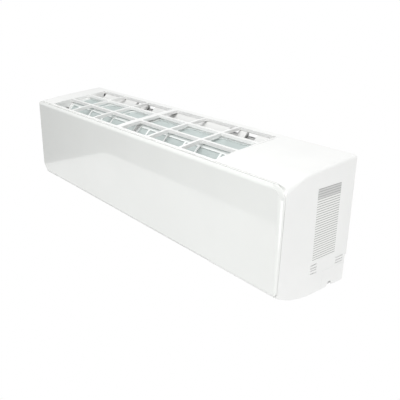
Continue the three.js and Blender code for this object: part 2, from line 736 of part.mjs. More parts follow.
// The two forked plates that hold the motor's rubber rings
function motorCradle() {
  const height = FAN_CENTRE[1];
  const front = LIP[0] + 6;
  const fork = [
    [front, SHELL + FIT],
    [CHANNEL_DEPTH, SHELL + FIT],
    [CHANNEL_DEPTH, CHASSIS_BACK_BOTTOM],
    [BACK_WALL_DEPTH + 1, CHASSIS_BACK_BOTTOM],
    [BACK_WALL_DEPTH + 1, height - 1],
    [front, height - 1],
  ];
  const start = BAY_RIGHT + MOTOR_START;
  const centres = [start - FIT - RUBBER_LENGTH / 2, start + MOTOR_LENGTH + FIT + RUBBER_LENGTH / 2];
  return centres.map((x) => cut(
    sidePrism(fork, x - SADDLE / 2, x + SADDLE / 2),
    cylinderX(RUBBER_RADIUS + FIT, x - SADDLE, x + SADDLE, FAN_CENTRE, 24),
  ));
}

function rearChassis() {
  const path = scrollPath();
  const inside = sidePrism([...path, [LIP[0], 160]], SIDE_WALL_LEFT - 1, SIDE_WALL_RIGHT + 1);
  const scroll = sidePrism(band(path, CHASSIS_WALL), SIDE_WALL_LEFT, SIDE_WALL_RIGHT);
  const gutterLine = [[180, 148], [198, 155], [BACK_WALL_DEPTH + 1, 168]];
  const gutter = sidePrism(band(gutterLine, -CHASSIS_WALL), SIDE_WALL_LEFT, SIDE_WALL_RIGHT);
  const roof = block(
    SIDE_WALL_LEFT,
    SIDE_WALL_RIGHT,
    180,
    BACK_WALL_DEPTH + CHASSIS_WALL,
    CHASSIS_BACK_BOTTOM,
    CHASSIS_BACK_BOTTOM + CHASSIS_WALL,
  );
  const webs = [SIDE_WALL_LEFT, ...BACK_RIBS, BAY_RIGHT].map((x) => backWeb(x, x + CHASSIS_WALL));
  const outer = [-OUTER_RIBS - CHASSIS_WALL, OUTER_RIBS].map((x) =>
    backWeb(x, x + CHASSIS_WALL, BELLY_END + 2));
  const floor = block(
    -HALF + SHELL + FIT + 3,
    HALF - SHELL - FIT - 3,
    BELLY_END + FIT,
    CASE_DEPTH - REAR_STEP,
    0,
    FLOOR_THICK,
  );
  const seatStart = SIDE_WALL_LEFT - BEARING_LENGTH + 1;
  const seat = cylinderX(BEARING_SEAT + CHASSIS_WALL, seatStart, BAY_LEFT, FAN_CENTRE, 24);
  const seatBore = cylinderX(BEARING_SEAT, SIDE_WALL_LEFT - BEARING_LENGTH, BAY_LEFT + 1, FAN_CENTRE, 24);
  const motorBore = cylinderX(BOSS_RADIUS + 4, BAY_RIGHT - 1, SIDE_WALL_RIGHT + 1, FAN_CENTRE, 24);
  const pinBores = cylinderX(LOUVER_PIN + 0.5, SIDE_WALL_LEFT - 1, SIDE_WALL_RIGHT + 1, LOUVER_AXIS, 16);
  const low = cut(joined(webs), inside);
  const body = joined(scroll, gutter, roof, low, outer, floor, backWall(), motorCradle());
  const walls = joined(fanSideWall(SIDE_WALL_LEFT), fanSideWall(BAY_RIGHT), seat);
  return toMesh('rear_chassis', cut(body.add(walls), seatBore, motorBore, pinBores), chassisPlastic);
}

// ---------------------------------------------------------------- mounting plate

// Sheet steel with hooks bent forward at its top edge
function mountingPlate() {
  const back = CASE_DEPTH;
  const front = back - PLATE_STEEL;
  const half = PLATE_WIDTH / 2;
  const sheet = frontPrism(rectangle(-half, half, PLATE_LOW, PLATE_HIGH, 12), front, back);
  const windows = [
    rectangle(-half + 30, -half + 130, PLATE_LOW + 30, PLATE_HIGH - 50, 10),
    rectangle(half - 130, half - 30, PLATE_LOW + 30, PLATE_HIGH - 50, 10),
    rectangle(-150, -40, PLATE_LOW + 50, PLATE_HIGH - 50, 10),
    rectangle(40, 150, PLATE_LOW + 50, PLATE_HIGH - 50, 10),
  ].map((outline) => frontPrism(outline, front - 1, back + 1));
  const screwHoles = [-half + 15, -170, 0, 170, half - 15].flatMap((x) => [
    frontPrism(circle([x, PLATE_HIGH - 24], 3, 8), front - 1, back + 1),
    frontPrism(circle([x, PLATE_LOW + 16], 3, 8), front - 1, back + 1),
  ]);
  const hookLine = [
    [back - 0.1, PLATE_HIGH],
    [BACK_WALL_DEPTH - 4, PLATE_HIGH],
    [BACK_WALL_DEPTH - 4, PLATE_HIGH + 8],
  ];
  const hooks = PLATE_HOOK_X.map((x) =>
    sidePrism(band(hookLine, PLATE_STEEL), x - PLATE_HOOK_WIDTH / 2, x + PLATE_HOOK_WIDTH / 2));
  const foldLine = [[back - 0.1, PLATE_LOW], [back - 7, PLATE_LOW]];
  const fold = sidePrism(band(foldLine, -PLATE_STEEL), -half + 40, half - 40);
  return toMesh('mounting_plate', joined(cut(sheet, windows, screwHoles), hooks, fold), steel);
}

// ---------------------------------------------------------------- coil and pipes

// One bank of fins between two bends of the coil's line: its ends and its middle line
function bankLine(i) {
  const along = unitVector(COIL_PATH[i], COIL_PATH[i + 1]);
  return [
    plus(COIL_PATH[i], along, COIL_TRIM[i]),
    plus(COIL_PATH[i + 1], along, -COIL_TRIM[i + 1]),
    along,
  ];
}

function bankOutline(i, grow = 0) {
  const [start, end, along] = bankLine(i);
  const line = [plus(start, along, -grow), plus(end, along, grow)];
  const middle = beside(line, -COIL_THICK / 2 - grow);
  return band(middle, COIL_THICK + 2 * grow);
}

const SHEET_LEFT = BAY_LEFT - FIT - TUBE_SHEET;
const SHEET_RIGHT = BAY_RIGHT + FIT;

// The way of the refrigerant through a bank: up one row of tubes and down the other
function circuit(i) {
  const [start, end, along] = bankLine(i);
  const length = Math.hypot(end[0] - start[0], end[1] - start[1]);
  const tubes = Math.floor(length / TUBE_PITCH);
  const first = (length - (tubes - 1) * TUBE_PITCH) / 2;
  const row = (side) => count(tubes).map((k) => {
    const onLine = plus(start, along, first + k * TUBE_PITCH);
    return plus(onLine, [-along[1], along[0]], (side * COIL_THICK) / 4);
  });
  return [...row(-1), ...row(1).reverse()];
}

// A hairpin from inside the fins, out through the end plate, round and back in
function returnBend(a, b, side) {
  const inside = side < 0 ? BAY_LEFT + 1 : BAY_RIGHT - 1;
  const out = inside + side * (TUBE_SHEET + FIT + 6);
  const middle = plus(plus([0, 0], a, 0.5), b, 0.5);
  const reach = Math.hypot(b[0] - a[0], b[1] - a[1]) / 2;
  const far = [out + side * reach, ...middle];
  return tube([[inside, ...a], [out, ...a], far, [out, ...b], [inside, ...b]], TUBE_RADIUS, 6, 5);
}

// A bank is its stack of fins, locked on the tubes that run through it
function coilBank(name, i) {
  const tubes = circuit(i);
  const bends = tubes.slice(1).map((next, k) => returnBend(tubes[k], next, k % 2 ? 1 : -1));
  const fins = sidePrism(bankOutline(i), BAY_LEFT, BAY_RIGHT);
  return toMesh(name, joined(fins, bends), fin);
}

// The end plate of the coil, one folded plate over all three banks
function tubeSheet(name, side) {
  const x0 = side < 0 ? SHEET_LEFT : SHEET_RIGHT;
  const banks = [0, 1, 2].map((i) => sidePrism(bankOutline(i, SHEET_BORDER), x0, x0 + TUBE_SHEET));
  const wedge = [
    plus(COIL_PATH[2], [0, -20]),
    plus(COIL_PATH[2], [17, -2]),
    plus(COIL_PATH[2], [0, 8]),
    plus(COIL_PATH[2], [-17, -2]),
  ];
  const knee = circle(COIL_PATH[1], COIL_THICK / 3, 8);
  const holes = [0, 1, 2].flatMap((i) => (side < 0 ? circuit(i) : circuit(i).slice(1, -1)))
    .map((place) => cylinderX(TUBE_RADIUS + 1, x0 - 1, x0 + TUBE_SHEET + 1, place, 6));
  const plate = joined(banks, sidePrism(wedge, x0, x0 + TUBE_SHEET), sidePrism(knee, x0, x0 + TUBE_SHEET));
  return toMesh(name, cut(plate, holes), steel);
}

const SUCTION = { radius: 6.35, end: -60 };
const LIQUID = { radius: 3.2, end: -20 };
const PIPE_DROP_X = BAY_RIGHT + 45;
const PIPE_BACK = BACK_WALL_DEPTH - 5.6; // both pipes lie against the clamp at this depth

function suctionRoute() {
  const front = circuit(0)[0];
  const start = SHEET_RIGHT + TUBE_SHEET + FIT;
  const depth = PIPE_BACK - SUCTION.radius;
  return [
    [start, ...front],
    [start + 16, ...front],
    [PIPE_DROP_X, front[0] + 4, 70],
    [PIPE_DROP_X, front[0] + 30, 22],
    [PIPE_DROP_X, 176, 18],
    [PIPE_DROP_X - 28, depth - 4, 22],
    [PIPE_DROP_X - 80, depth, 24],
    [PIPE_DROP_X - 140, depth, 24],
    [SUCTION.end, depth, 24],
  ];
}

function liquidRoute() {
  const top = circuit(1)[0];
  const start = SHEET_RIGHT + TUBE_SHEET + FIT;
  const depth = PIPE_BACK - LIQUID.radius;
  return [
    [start, ...top],
    [start + 14, ...top],
    [PIPE_DROP_X - 8, top[0] + 40, top[1] + 8],
    [PIPE_DROP_X - 8, 192, 184],
    [PIPE_DROP_X - 8, depth - 1, 110],
    [PIPE_DROP_X - 12, depth, 68],
    [PIPE_DROP_X - 40, depth, 50],
    [PIPE_DROP_X - 90, depth, 48],
    [PIPE_DROP_X - 140, depth, 48],
    [LIQUID.end, depth, 48],
  ];
}

// The flare nut over the end of a pipe
function flareNut(name, pipe, route) {
  const [x, ...centre] = route[route.length - 1];
  const across = pipe.radius * 1.9;
  const bore = (pipe.radius + FIT) / Math.cos(30 * DEGREE);
  const nut = turnedX([
    [bore, x - 4],
    [across * 0.86, x - 4],
    [across, x - 2],
    [across, x + 12],
    [across * 0.8, x + 16],
    [bore, x + 16],
    [bore, x - 4],
  ], centre, 6);
  return toMesh(name, nut, brass);
}

// The strap that holds the pipes in their channel
function pipeClamp() {
  const strapHeights = [FLOOR_THICK + FIT, CHASSIS_BACK_BOTTOM - FIT];
  const strap = block(130, 190, BACK_WALL_DEPTH, BACK_WALL_DEPTH + 2.5, ...strapHeights);
  const ribs = [140, 180].map((x) => block(x - 1, x + 1, PIPE_BACK + FIT, BACK_WALL_DEPTH + 1, 6, 60));
  return toMesh('pipe_clamp', joined(strap, ribs), chassisPlastic);
}

// ---------------------------------------------------------------- fan

function bladeOutline(angle) {
  const inner = FAN_RADIUS - BLADE_CHORD;
  const at = (radius, lean, half) => {
    const turn = (angle + lean) * DEGREE + half / radius;
    return [FAN_CENTRE[0] + radius * Math.cos(turn), FAN_CENTRE[1] + radius * Math.sin(turn)];
  };
  const middle = (inner + FAN_RADIUS) / 2;
  return [
    at(inner, 0, 0),
    at(middle, BLADE_LEAN * 0.2, -BLADE_THICK / 2),
    at(FAN_RADIUS - 0.4, BLADE_LEAN, 0),
    at(middle, BLADE_LEAN * 0.2, BLADE_THICK / 2),
  ];
}

function crossFlowFan() {
  const left = BAY_LEFT + FAN_END_GAP;
  const right = BAY_RIGHT - FAN_END_GAP;
  const blades = count(FAN_BLADES).map((i) =>
    sidePrism(bladeOutline((360 * i) / FAN_BLADES), left + 0.5, right - 0.5));
  const discs = count(FAN_SEGMENTS + 1).map((i) => {
    const x = left + ((right - left - FAN_DISC) * i) / FAN_SEGMENTS;
    const disc = cylinderX(FAN_RADIUS, x, x + FAN_DISC, FAN_CENTRE, 24);
    const open = i > 0 && i < FAN_SEGMENTS;
    const bore = cylinderX(FAN_RADIUS - BLADE_CHORD - 2, x - 1, x + FAN_DISC + 1, FAN_CENTRE, 16);
    return open ? cut(disc, bore) : disc;
  });
  const stub = cylinderX(SHAFT_RADIUS, left - 15, left + 1, FAN_CENTRE, 16);
  const hub = cylinderX(13, right - 16, right, FAN_CENTRE, 16);
  const bore = cylinderX(SHAFT_RADIUS + FIT, right - 15, right + 1, FAN_CENTRE, 16);
  const wheel = joined(wasm.Manifold.union([...blades, ...discs]), stub, hub);
  return toMesh('cross_flow_fan', cut(wheel, bore), darkPlastic);
}

function bearing() {
  const x1 = BAY_LEFT - 1;
  const x0 = x1 - BEARING_LENGTH;
  const ring = (name, inner, outer, material) => toMesh(name, turnedX([
    [inner, x0],
    [outer, x0],
    [outer, x1],
    [inner, x1],
    [inner, x0],
  ], FAN_CENTRE, 16), material);
  const bush = SHAFT_RADIUS + 5;
  return [
    ring('fan_bearing_bush', SHAFT_RADIUS + 0.4, bush, brass),
    ring('fan_bearing_rubber', bush + FIT, BEARING_SEAT - FIT, rubber),
  ];
}

function fanMotor() {
  const start = BAY_RIGHT + MOTOR_START;
  const end = start + MOTOR_LENGTH;
  const boss = RUBBER_LENGTH + 1;
  const bore = SHAFT_RADIUS + 0.4;
  const body = turnedX([
    [bore, start - boss],
    [BOSS_RADIUS, start - boss],
    [BOSS_RADIUS, start],
    [MOTOR_RADIUS - 6, start],
    [MOTOR_RADIUS, start + 5],
    [MOTOR_RADIUS, end - 5],
    [MOTOR_RADIUS - 6, end],
    [BOSS_RADIUS, end],
    [BOSS_RADIUS, end + boss],
    [0, end + boss],
    [0, start + 20],
    [bore, start + 20],
    [bore, start - boss],
  ], FAN_CENTRE, 20);
  const ring = (name, x0) => toMesh(name, turnedX([
    [BOSS_RADIUS + FIT, x0],
    [RUBBER_RADIUS, x0],
    [RUBBER_RADIUS, x0 + RUBBER_LENGTH],
    [BOSS_RADIUS + FIT, x0 + RUBBER_LENGTH],
    [BOSS_RADIUS + FIT, x0],
  ], FAN_CENTRE, 20), rubber);
  return [
    toMesh('fan_motor', body, steel),
    ring('motor_rubber_left', start - FIT - RUBBER_LENGTH),
    ring('motor_rubber_right', end + FIT),
    toMesh(
      'motor_shaft',
      cylinderX(SHAFT_RADIUS, BAY_RIGHT - FAN_END_GAP - 14, start + 19, FAN_CENTRE, 16),
      steel,
    ),
  ];
}

// The arched strap over the motor, with a cheek over each rubber ring
function motorClamp() {
  const [depth, height] = FAN_CENTRE;
  const start = BAY_RIGHT + MOTOR_START;
  const cheeks = [start - FIT - RUBBER_LENGTH / 2, start + MOTOR_LENGTH + FIT + RUBBER_LENGTH / 2];
  const inner = MOTOR_RADIUS + 1;
  const arch = [...arc(FAN_CENTRE, inner + 2.5, 8, 172, 8), ...arc(FAN_CENTRE, inner, 172, 8, 8)];
  const strap = sidePrism(arch, start + 12, start + MOTOR_LENGTH - 12);
  const bars = [18, 162].map((angle) => {
    const at = plus(FAN_CENTRE, [Math.cos(angle * DEGREE), Math.sin(angle * DEGREE)], inner + 1.2);
    return block(cheeks[0] - 1, cheeks[1] + 1, at[0] - 1.6, at[0] + 1.6, at[1] - 1.6, at[1] + 1.6);
  });
  const cheek = (x) => {
    const face = arc(FAN_CENTRE, inner + 2.5, 8, 172, 8);
    const plate = sidePrism(face, x - SADDLE / 2, x + SADDLE / 2);
    const hole = cylinderX(RUBBER_RADIUS + FIT, x - SADDLE, x + SADDLE, FAN_CENTRE, 24);
    const lift = block(x - SADDLE, x + SADDLE, depth - 80, depth + 80, height - 1, height + 7);
    return cut(plate, hole, lift);
  };
  const clear = cylinderX(inner, start - 1, start + MOTOR_LENGTH + 1, FAN_CENTRE, 24);
  return toMesh('motor_clamp', cut(joined(strap, bars, cheeks.map(cheek)), clear), steel);
}

// ---------------------------------------------------------------- drain pan and outlet

// The duct's ceiling, from the stabiliser's edge to the front of the mouth
function ceilingLine() {
  const foot = plus(LIP, DUCT_UP, DUCT_HEIGHT);
  const tongue = plus(foot, UPSTREAM, TONGUE);
  const straight = plus(foot, UPSTREAM, -4);
  const flare = new THREE.QuadraticBezierCurve(
    new THREE.Vector2(...straight),
    new THREE.Vector2(...plus(straight, UPSTREAM, -20)),
    new THREE.Vector2(20, CHIN_HEIGHT + 3),
  );
  return [tongue, ...curvePoints(flare, 5)];
}

function drainPan() {
  const under = ceilingLine();
  const tip = under[0];
  const floor = COIL_PATH[0][1] - 11;
  const outline = [
    ...under,
    [20, CHIN_HEIGHT + 6],
    [33, floor - 6],
    [33, floor + 14],
    [36, floor + 14],
    [36, floor],
    [70, floor],
    [72, floor + 12],
    plus(tip, [-3.5, 5]),
    plus(tip, [0.5, 4]),
  ];
  const end = FIT;
  const pan = sidePrism(outline, BAY_LEFT + end, BAY_RIGHT - end);
  const dams = [BAY_LEFT + end, BAY_RIGHT - end - 3].map((x) =>
    block(x, x + 3, 34, 72, floor - 1, floor + 9));
  const bosses = CASE_SCREW_X.map((x) => block(
    x - 7,
    x + 7,
    caseFront(CASE_SCREW_HEIGHT) + SHELL + 2 * FIT,
    33,
    CASE_SCREW_HEIGHT - 6,
    CASE_SCREW_HEIGHT + 6,
  ));
  const bores = CASE_SCREW_X.map((x) => frontPrism(circle([x, CASE_SCREW_HEIGHT], 2.1, 12), 0, 27));
  return toMesh('drain_pan', cut(joined(pan, dams, bosses), bores), foamPan);
}

function caseScrew(name, x) {
  const seat = caseFront(CASE_SCREW_HEIGHT) - FIT;
  const head = frontPrism(circle([x, CASE_SCREW_HEIGHT], 4, 10), seat - 2.2, seat);
  const shank = frontPrism(circle([x, CASE_SCREW_HEIGHT], 1.75, 8), seat - 1, 25);
  return toMesh(name, joined(head, shank), steel);
}

function louver() {
  const steps = 12;
  const outer = count(steps + 1).map((i) => {
    const at = chinCurve.getPoint(LOUVER_START + ((LOUVER_END - LOUVER_START) * i) / steps);
    return [at.x, at.y];
  });
  const x0 = BAY_LEFT + LOUVER_END_GAP;
  const x1 = BAY_RIGHT - LOUVER_END_GAP;
  const blade = sidePrism(band(outer, LOUVER_THICK), x0, x1);
  const arm = [
    [58, 10],
    [94, 2.6],
    [91, 11],
    ...arc(LOUVER_AXIS, 6.5, 0, 110, 4),
    [60, 14],
  ];
  const arms = [x0, BAY_MIDDLE - 1.25, x1 - 2.5].map((x) => sidePrism(arm, x, x + 2.5));
  const pins = [
    cylinderX(LOUVER_PIN, SIDE_WALL_LEFT, x0 + 1, LOUVER_AXIS, 16),
    cylinderX(LOUVER_PIN, x1 - 1, SIDE_WALL_RIGHT, LOUVER_AXIS, 16),
  ];
  return toMesh('horizontal_louver', joined(blade, arms, pins), whiteCase);
}

function louverMotor() {
  const x0 = SIDE_WALL_RIGHT + FIT;
  const middle = plus(LOUVER_AXIS, [0, LOUVER_MOTOR_OFFSET]);
  const radius = LOUVER_MOTOR_RADIUS;
  const x1 = x0 + 18;
  const can = turnedX([[0, x0], [radius - 1, x0], [radius, x0 + 1], [radius, x1], [0, x1]], middle, 20);
  const ears = block(x0, x0 + 1, middle[0] - 21, middle[0] + 21, middle[1] - 3.5, middle[1] + 3.5);
  const wireBox = block(x0 + 4, x0 + 16, middle[0] - 7, middle[0] + 7, middle[1] + 8, middle[1] + 17);
  return toMesh('louver_motor', joined(can, ears, wireBox), darkPlastic);
}

// ---------------------------------------------------------------- vertical vanes
// They are built flat, with Y up the duct and Z off its floor, and turned into place with their group.

const VANE_PITCH = BAY_WIDTH / (2 * VANES_PER_GANG);
const vaneX = (i) => BAY_LEFT + VANE_PITCH * (i + 0.5);

const ductPrism = (outline, x0, x1) =>
  extruded(outline, x1 - x0, [[0, 1, 0], [0, 0, 1], [1, 0, 0]], [x0, 0, 0]);

const ductBar = (x, y, radius, z0, z1, sides) =>
  extruded(circle([x, y], radius, sides), z1 - z0, [[1, 0, 0], [0, 1, 0], [0, 0, 1]], [0, 0, z0]);

function vane(name, x) {
  const low = FIT + BED_THICK + 1;
  const outline = rounded([
    [10, low],
    [10, 26],
    [6, 40],
    [6, VANE_TOP],
    [-ROD_ARM - 8, VANE_TOP, 4],
    [-ROD_ARM - 8, ROD_HEIGHT - 10],
    [-15, 30],
    [-15, low],
  ], { steps: 1 });
  const plate = ductPrism(outline, -VANE_THICK / 2, VANE_THICK / 2);
  const window = ductPrism([
    [-ROD_ARM - 5, ROD_HEIGHT - 4],
    [-ROD_ARM + 5, ROD_HEIGHT - 4],
    [-ROD_ARM + 5, ROD_HEIGHT + 4],
    [-ROD_ARM - 5, ROD_HEIGHT + 4],
  ], -VANE_THICK, VANE_THICK);
  const foot = ductBar(0, 0, VANE_PIN, FIT + 0.5, low + 4, 6);
  const pin = ductBar(0, -ROD_ARM, ROD_PIN, ROD_HEIGHT - 4.5, ROD_HEIGHT + 4.5, 6);
  const mesh = toMesh(name, joined(cut(plate, window), foot, pin), glossWhite);
  mesh.position.x = x;
  return mesh;
}

function vaneBed(name, gang) {
  const indexes = count(VANES_PER_GANG).map((i) => i + gang * VANES_PER_GANG);
  const x0 = vaneX(indexes[0]) - VANE_PITCH * 0.3;
  const x1 = vaneX(indexes[indexes.length - 1]) + VANE_PITCH * 0.3;
  const strip = ductPrism([
    [-BED_WIDTH / 2, FIT],
    [BED_WIDTH / 2, FIT],
    [BED_WIDTH / 2, FIT + BED_THICK - 1],
    [BED_WIDTH / 2 - 2, FIT + BED_THICK],
    [-BED_WIDTH / 2 + 2, FIT + BED_THICK],
    [-BED_WIDTH / 2, FIT + BED_THICK - 1],
  ], x0, x1);
  const holes = indexes.map((i) => ductBar(vaneX(i), 0, VANE_PIN + 2 * FIT, -1, BED_THICK + 2, 8));
  return toMesh(name, cut(strip, holes), glossWhite);
}

function linkRod(name, gang) {
  const indexes = count(VANES_PER_GANG).map((i) => i + gang * VANES_PER_GANG);
  const x0 = vaneX(indexes[0]) - 7;
  const x1 = vaneX(indexes[indexes.length - 1]) + 7;
  const half = ROD_WIDTH / 2;
  const [low, high] = [ROD_HEIGHT - ROD_THICK / 2, ROD_HEIGHT + ROD_THICK / 2];
  const bar = ductPrism([
    [-ROD_ARM - half, low],
    [-ROD_ARM + half, low],
    [-ROD_ARM + half, high],
    [-ROD_ARM - half, high],
  ], x0, x1);
  const holes = indexes.map((i) =>
    ductBar(vaneX(i), -ROD_ARM, ROD_PIN + VANE_SWING_ROOM, low - 1, high + 1, 6));
  return toMesh(name, cut(bar, holes), glossWhite);
}

function vaneGroup() {
  const group = new THREE.Group();
  const foot = plus(LIP, UPSTREAM, VANE_FOOT);
  group.position.set(0, foot[0] - CASE_DEPTH, foot[1]);
  group.rotation.x = DUCT_ANGLE * DEGREE;
  ['left', 'right'].forEach((side, gang) => {
    group.add(vaneBed(`vane_bed_${side}`, gang), linkRod(`link_rod_${side}`, gang));
    for (let i = 0; i < VANES_PER_GANG; i += 1) {
      group.add(vane(`vane_${side}_${i + 1}`, vaneX(i + gang * VANES_PER_GANG)));
    }
  });
  return group;
}

// ---------------------------------------------------------------- air filters

const filterLine = () =>
  rounded(FILTER_PATH.map(([a, b]) => [a, b, FILTER_ROUND]), { closed: false, steps: 2 });

const stretches = (line) => line.slice(1).map((p, i) => Math.hypot(p[0] - line[i][0], p[1] - line[i][1]));

// The point and the direction at a distance along a line
function along(line, distance) {
  const lengths = stretches(line);
  let rest = distance;
  let i = 0;
  while (i < lengths.length - 1 && rest > lengths[i]) {
    rest -= lengths[i];
    i += 1;
  }
  const direction = unitVector(line[i], line[i + 1]);
  return [plus(line[i], direction, rest), direction];
}

function filter(side, x0, x1) {
  const line = filterLine();
  const length = stretches(line).reduce((sum, part) => sum + part, 0);
  const sheet = band(line, FILTER_THICK);
  const bay = (x1 - x0) / FILTER_COLUMNS;
  const runs = [
    [x0, x0 + FILTER_RIM],
    ...count(FILTER_COLUMNS - 1).map((i) => x0 + bay * (i + 1)).map((x) => [x - FILTER_RIB, x + FILTER_RIB]),
    [x1 - FILTER_RIM, x1],
  ].map(([a, b]) => sidePrism(sheet, a, b));
  const crosses = count(FILTER_ROWS + 1).map((i) => {
    const edge = i === 0 || i === FILTER_ROWS;
    const half = (edge ? FILTER_RIM : FILTER_RIB) / 2;
    const place = half + ((length - 2 * half) * i) / FILTER_ROWS;
    const [middle, direction] = along(line, place);
    const rib = [plus(middle, direction, -half), plus(middle, direction, half)];
    return sidePrism(band(rib, FILTER_THICK), x0 + 1, x1 - 1);
  });
  const mesh = sidePrism(band(beside(line, -FIT), -FILTER_MESH), x0 + 1, x1 - 1);
  return [
    toMesh(`filter_${side}_frame`, joined(runs, crosses), filterPlastic),
    toMesh(`filter_${side}_mesh`, mesh, filterMeshGrey),
  ];
}

// ---------------------------------------------------------------- electrical parts

function electricalBox() {
  const outer = block(BOX_LEFT, BOX_RIGHT, BOX_FRONT, BOX_REAR, BOX_LOW, BOX_HIGH);
  const inner = block(
    BOX_LEFT + BOX_WALL,
    BOX_RIGHT - BOX_WALL,
    BOX_FRONT - 1,
    BOX_REAR - BOX_WALL,
    BOX_LOW + BOX_WALL,
    BOX_HIGH - BOX_WALL,
  );
  const posts = [[BOX_LEFT + 12, BOX_LOW + 14], [BOX_RIGHT - 12, BOX_HIGH - 14]].map(([x, height]) =>
    frontPrism(circle([x, height], 5, 10), BOX_REAR - 1, BACK_WALL_DEPTH - FIT));
  return toMesh('electrical_box', joined(cut(outer, inner), posts), darkPlastic);
}

function mainBoard() {
  const back = BOX_REAR - BOX_WALL - FIT;
  const left = BOX_LEFT + BOX_WALL + 4;
  const right = BOX_RIGHT - BOX_WALL - 4;
  const pcb = block(left, right, back - 6, back - 4.4, BOX_LOW + 8, BOX_HIGH - 8);
  const feet = [left + 6, right - 6].flatMap((x) => [BOX_LOW + 16, BOX_HIGH - 16].map((height) =>
    frontPrism(circle([x, height], 3, 8), back - 5, back)));
  const face = back - 5;
  const parts = [
    block(left + 8, left + 28, face - 16, face, BOX_LOW + 60, BOX_LOW + 84),
    block(right - 36, right - 10, face - 22, face, BOX_LOW + 96, BOX_LOW + 124),
    frontPrism(circle([left + 20, BOX_HIGH - 36], 11, 16), face - 28, face),
    frontPrism(circle([right - 20, BOX_LOW + 70], 7, 12), face - 20, face),
  ];
  return toMesh('main_board', joined(pcb, feet, parts), board);
}

function terminalBlock() {
  const x0 = BOX_LEFT + 14;
  const ways = 5;
  const pitch = 15;
  const low = BOX_LOW + BOX_WALL + FIT;
  const body = block(x0, x0 + ways * pitch, BOX_FRONT + 6, BOX_FRONT + 30, low, low + 18);
  const cups = count(ways).map((i) =>
    block(x0 + i * pitch + 2, x0 + (i + 1) * pitch - 2, BOX_FRONT + 4, BOX_FRONT + 20, low + 8, low + 20));
  return toMesh('terminal_block', cut(body, cups), whiteCase);
}

// The cover behind the case's right window, leaning with the case's front wall
function electricalCover() {
  const [x0, x1, h0, h1] = BOX_WINDOW;
  const low = h0 - 6;
  const high = h1 + 5;
  const back = SHELL + FIT + 0.2;
  const slab = [
    [caseFront(low) + back, low],
    [caseFront(low) + back + 2, low],
    [caseFront(high) + back + 2, high],
    [caseFront(high) + back, high],
  ];
  return toMesh('electrical_cover', sidePrism(slab, x0 - 5, x1 + 6), chassisPlastic);
}

function displayBoard() {
  const back = PANEL_WALL + FIT;
  const pcb = block(368, 432, back, back + 1.4, 62, 84);
  const lamps = [378, 390, 402].map((x) => block(x - 2, x + 2, back + 1, back + 2.2, 70, 76));
  return toMesh('display_board', joined(pcb, lamps), board);
}

function roomSensor() {
  const x = BAY_RIGHT - 24;
  const face = COIL_PATH[0][0] - COIL_THICK / 2;
  const bead = planPrism(circle([x, face - 6], 2.6, 10), 108, 138);
  const clip = block(x - 4, x + 4, face - 7, face - FIT, 118, 124);
  return toMesh('room_sensor', joined(bead, clip), darkPlastic);
}

// ---------------------------------------------------------------- the whole unit

const FILTER_WIDTH = (BAY_WIDTH - 2 * FILTER_EDGE - FILTER_GAP) / 2;

const unit = new THREE.Group();
unit.position.z = -PLATE_CENTRE;
unit.add(
  rearChassis(),
  mountingPlate(),
  frontCase(),
  frontPanel(),
  pipeKnockout('pipe_knockout_right', 1),
  pipeKnockout('pipe_knockout_left', -1),
  coilBank('coil_front_lower', 0),
  coilBank('coil_front_upper', 1),
  coilBank('coil_rear', 2),
  tubeSheet('tube_sheet_left', -1),
  tubeSheet('tube_sheet_right', 1),
  toMesh('suction_pipe', tube(suctionRoute(), SUCTION.radius, 30, 8), copper),
  toMesh('liquid_pipe', tube(liquidRoute(), LIQUID.radius, 30, 6), copper),
  flareNut('suction_flare_nut', SUCTION, suctionRoute()),
  flareNut('liquid_flare_nut', LIQUID, liquidRoute()),
  pipeClamp(),
  crossFlowFan(),
  ...bearing(),
  ...fanMotor(),
  motorClamp(),
  drainPan(),
  ...['left', 'middle', 'right'].map((place, i) => caseScrew(`case_screw_${place}`, CASE_SCREW_X[i])),
  louver(),
  louverMotor(),
  vaneGroup(),
  ...filter('left', BAY_LEFT + FILTER_EDGE, BAY_LEFT + FILTER_EDGE + FILTER_WIDTH),
  ...filter('right', BAY_RIGHT - FILTER_EDGE - FILTER_WIDTH, BAY_RIGHT - FILTER_EDGE),
  electricalBox(),
  mainBoard(),
  terminalBlock(),
  electricalCover(),
  displayBoard(),
  roomSensor(),
);

export default unit;
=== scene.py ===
# %% [markdown]
# # A wall-mounted mini split indoor unit
#
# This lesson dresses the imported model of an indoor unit: a long white case with an inlet grille
# on top, a flat glossy panel in front, and the louver, vanes, filters, coil and fan inside it.
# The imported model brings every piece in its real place. The visible outer pieces are built again
# here with fine curves and soft edges, and every piece gets a procedural finish.

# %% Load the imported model
import json
import math

import bmesh
import bpy
from mathutils import Matrix, Vector


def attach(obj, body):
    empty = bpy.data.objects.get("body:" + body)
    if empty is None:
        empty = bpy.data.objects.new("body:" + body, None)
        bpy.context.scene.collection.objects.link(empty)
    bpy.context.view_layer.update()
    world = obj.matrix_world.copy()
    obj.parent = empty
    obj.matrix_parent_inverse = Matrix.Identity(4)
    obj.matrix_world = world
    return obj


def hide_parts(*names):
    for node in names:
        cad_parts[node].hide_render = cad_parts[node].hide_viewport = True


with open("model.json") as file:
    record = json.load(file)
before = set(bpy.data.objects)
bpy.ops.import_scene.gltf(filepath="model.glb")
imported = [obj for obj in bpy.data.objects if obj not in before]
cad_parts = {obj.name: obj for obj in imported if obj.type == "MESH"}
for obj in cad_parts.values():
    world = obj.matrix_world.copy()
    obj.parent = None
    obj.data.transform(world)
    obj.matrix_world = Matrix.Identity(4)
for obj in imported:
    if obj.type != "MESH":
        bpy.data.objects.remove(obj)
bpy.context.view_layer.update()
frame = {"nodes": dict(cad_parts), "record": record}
for plain_material in list(bpy.data.materials):
    bpy.data.materials.remove(plain_material)

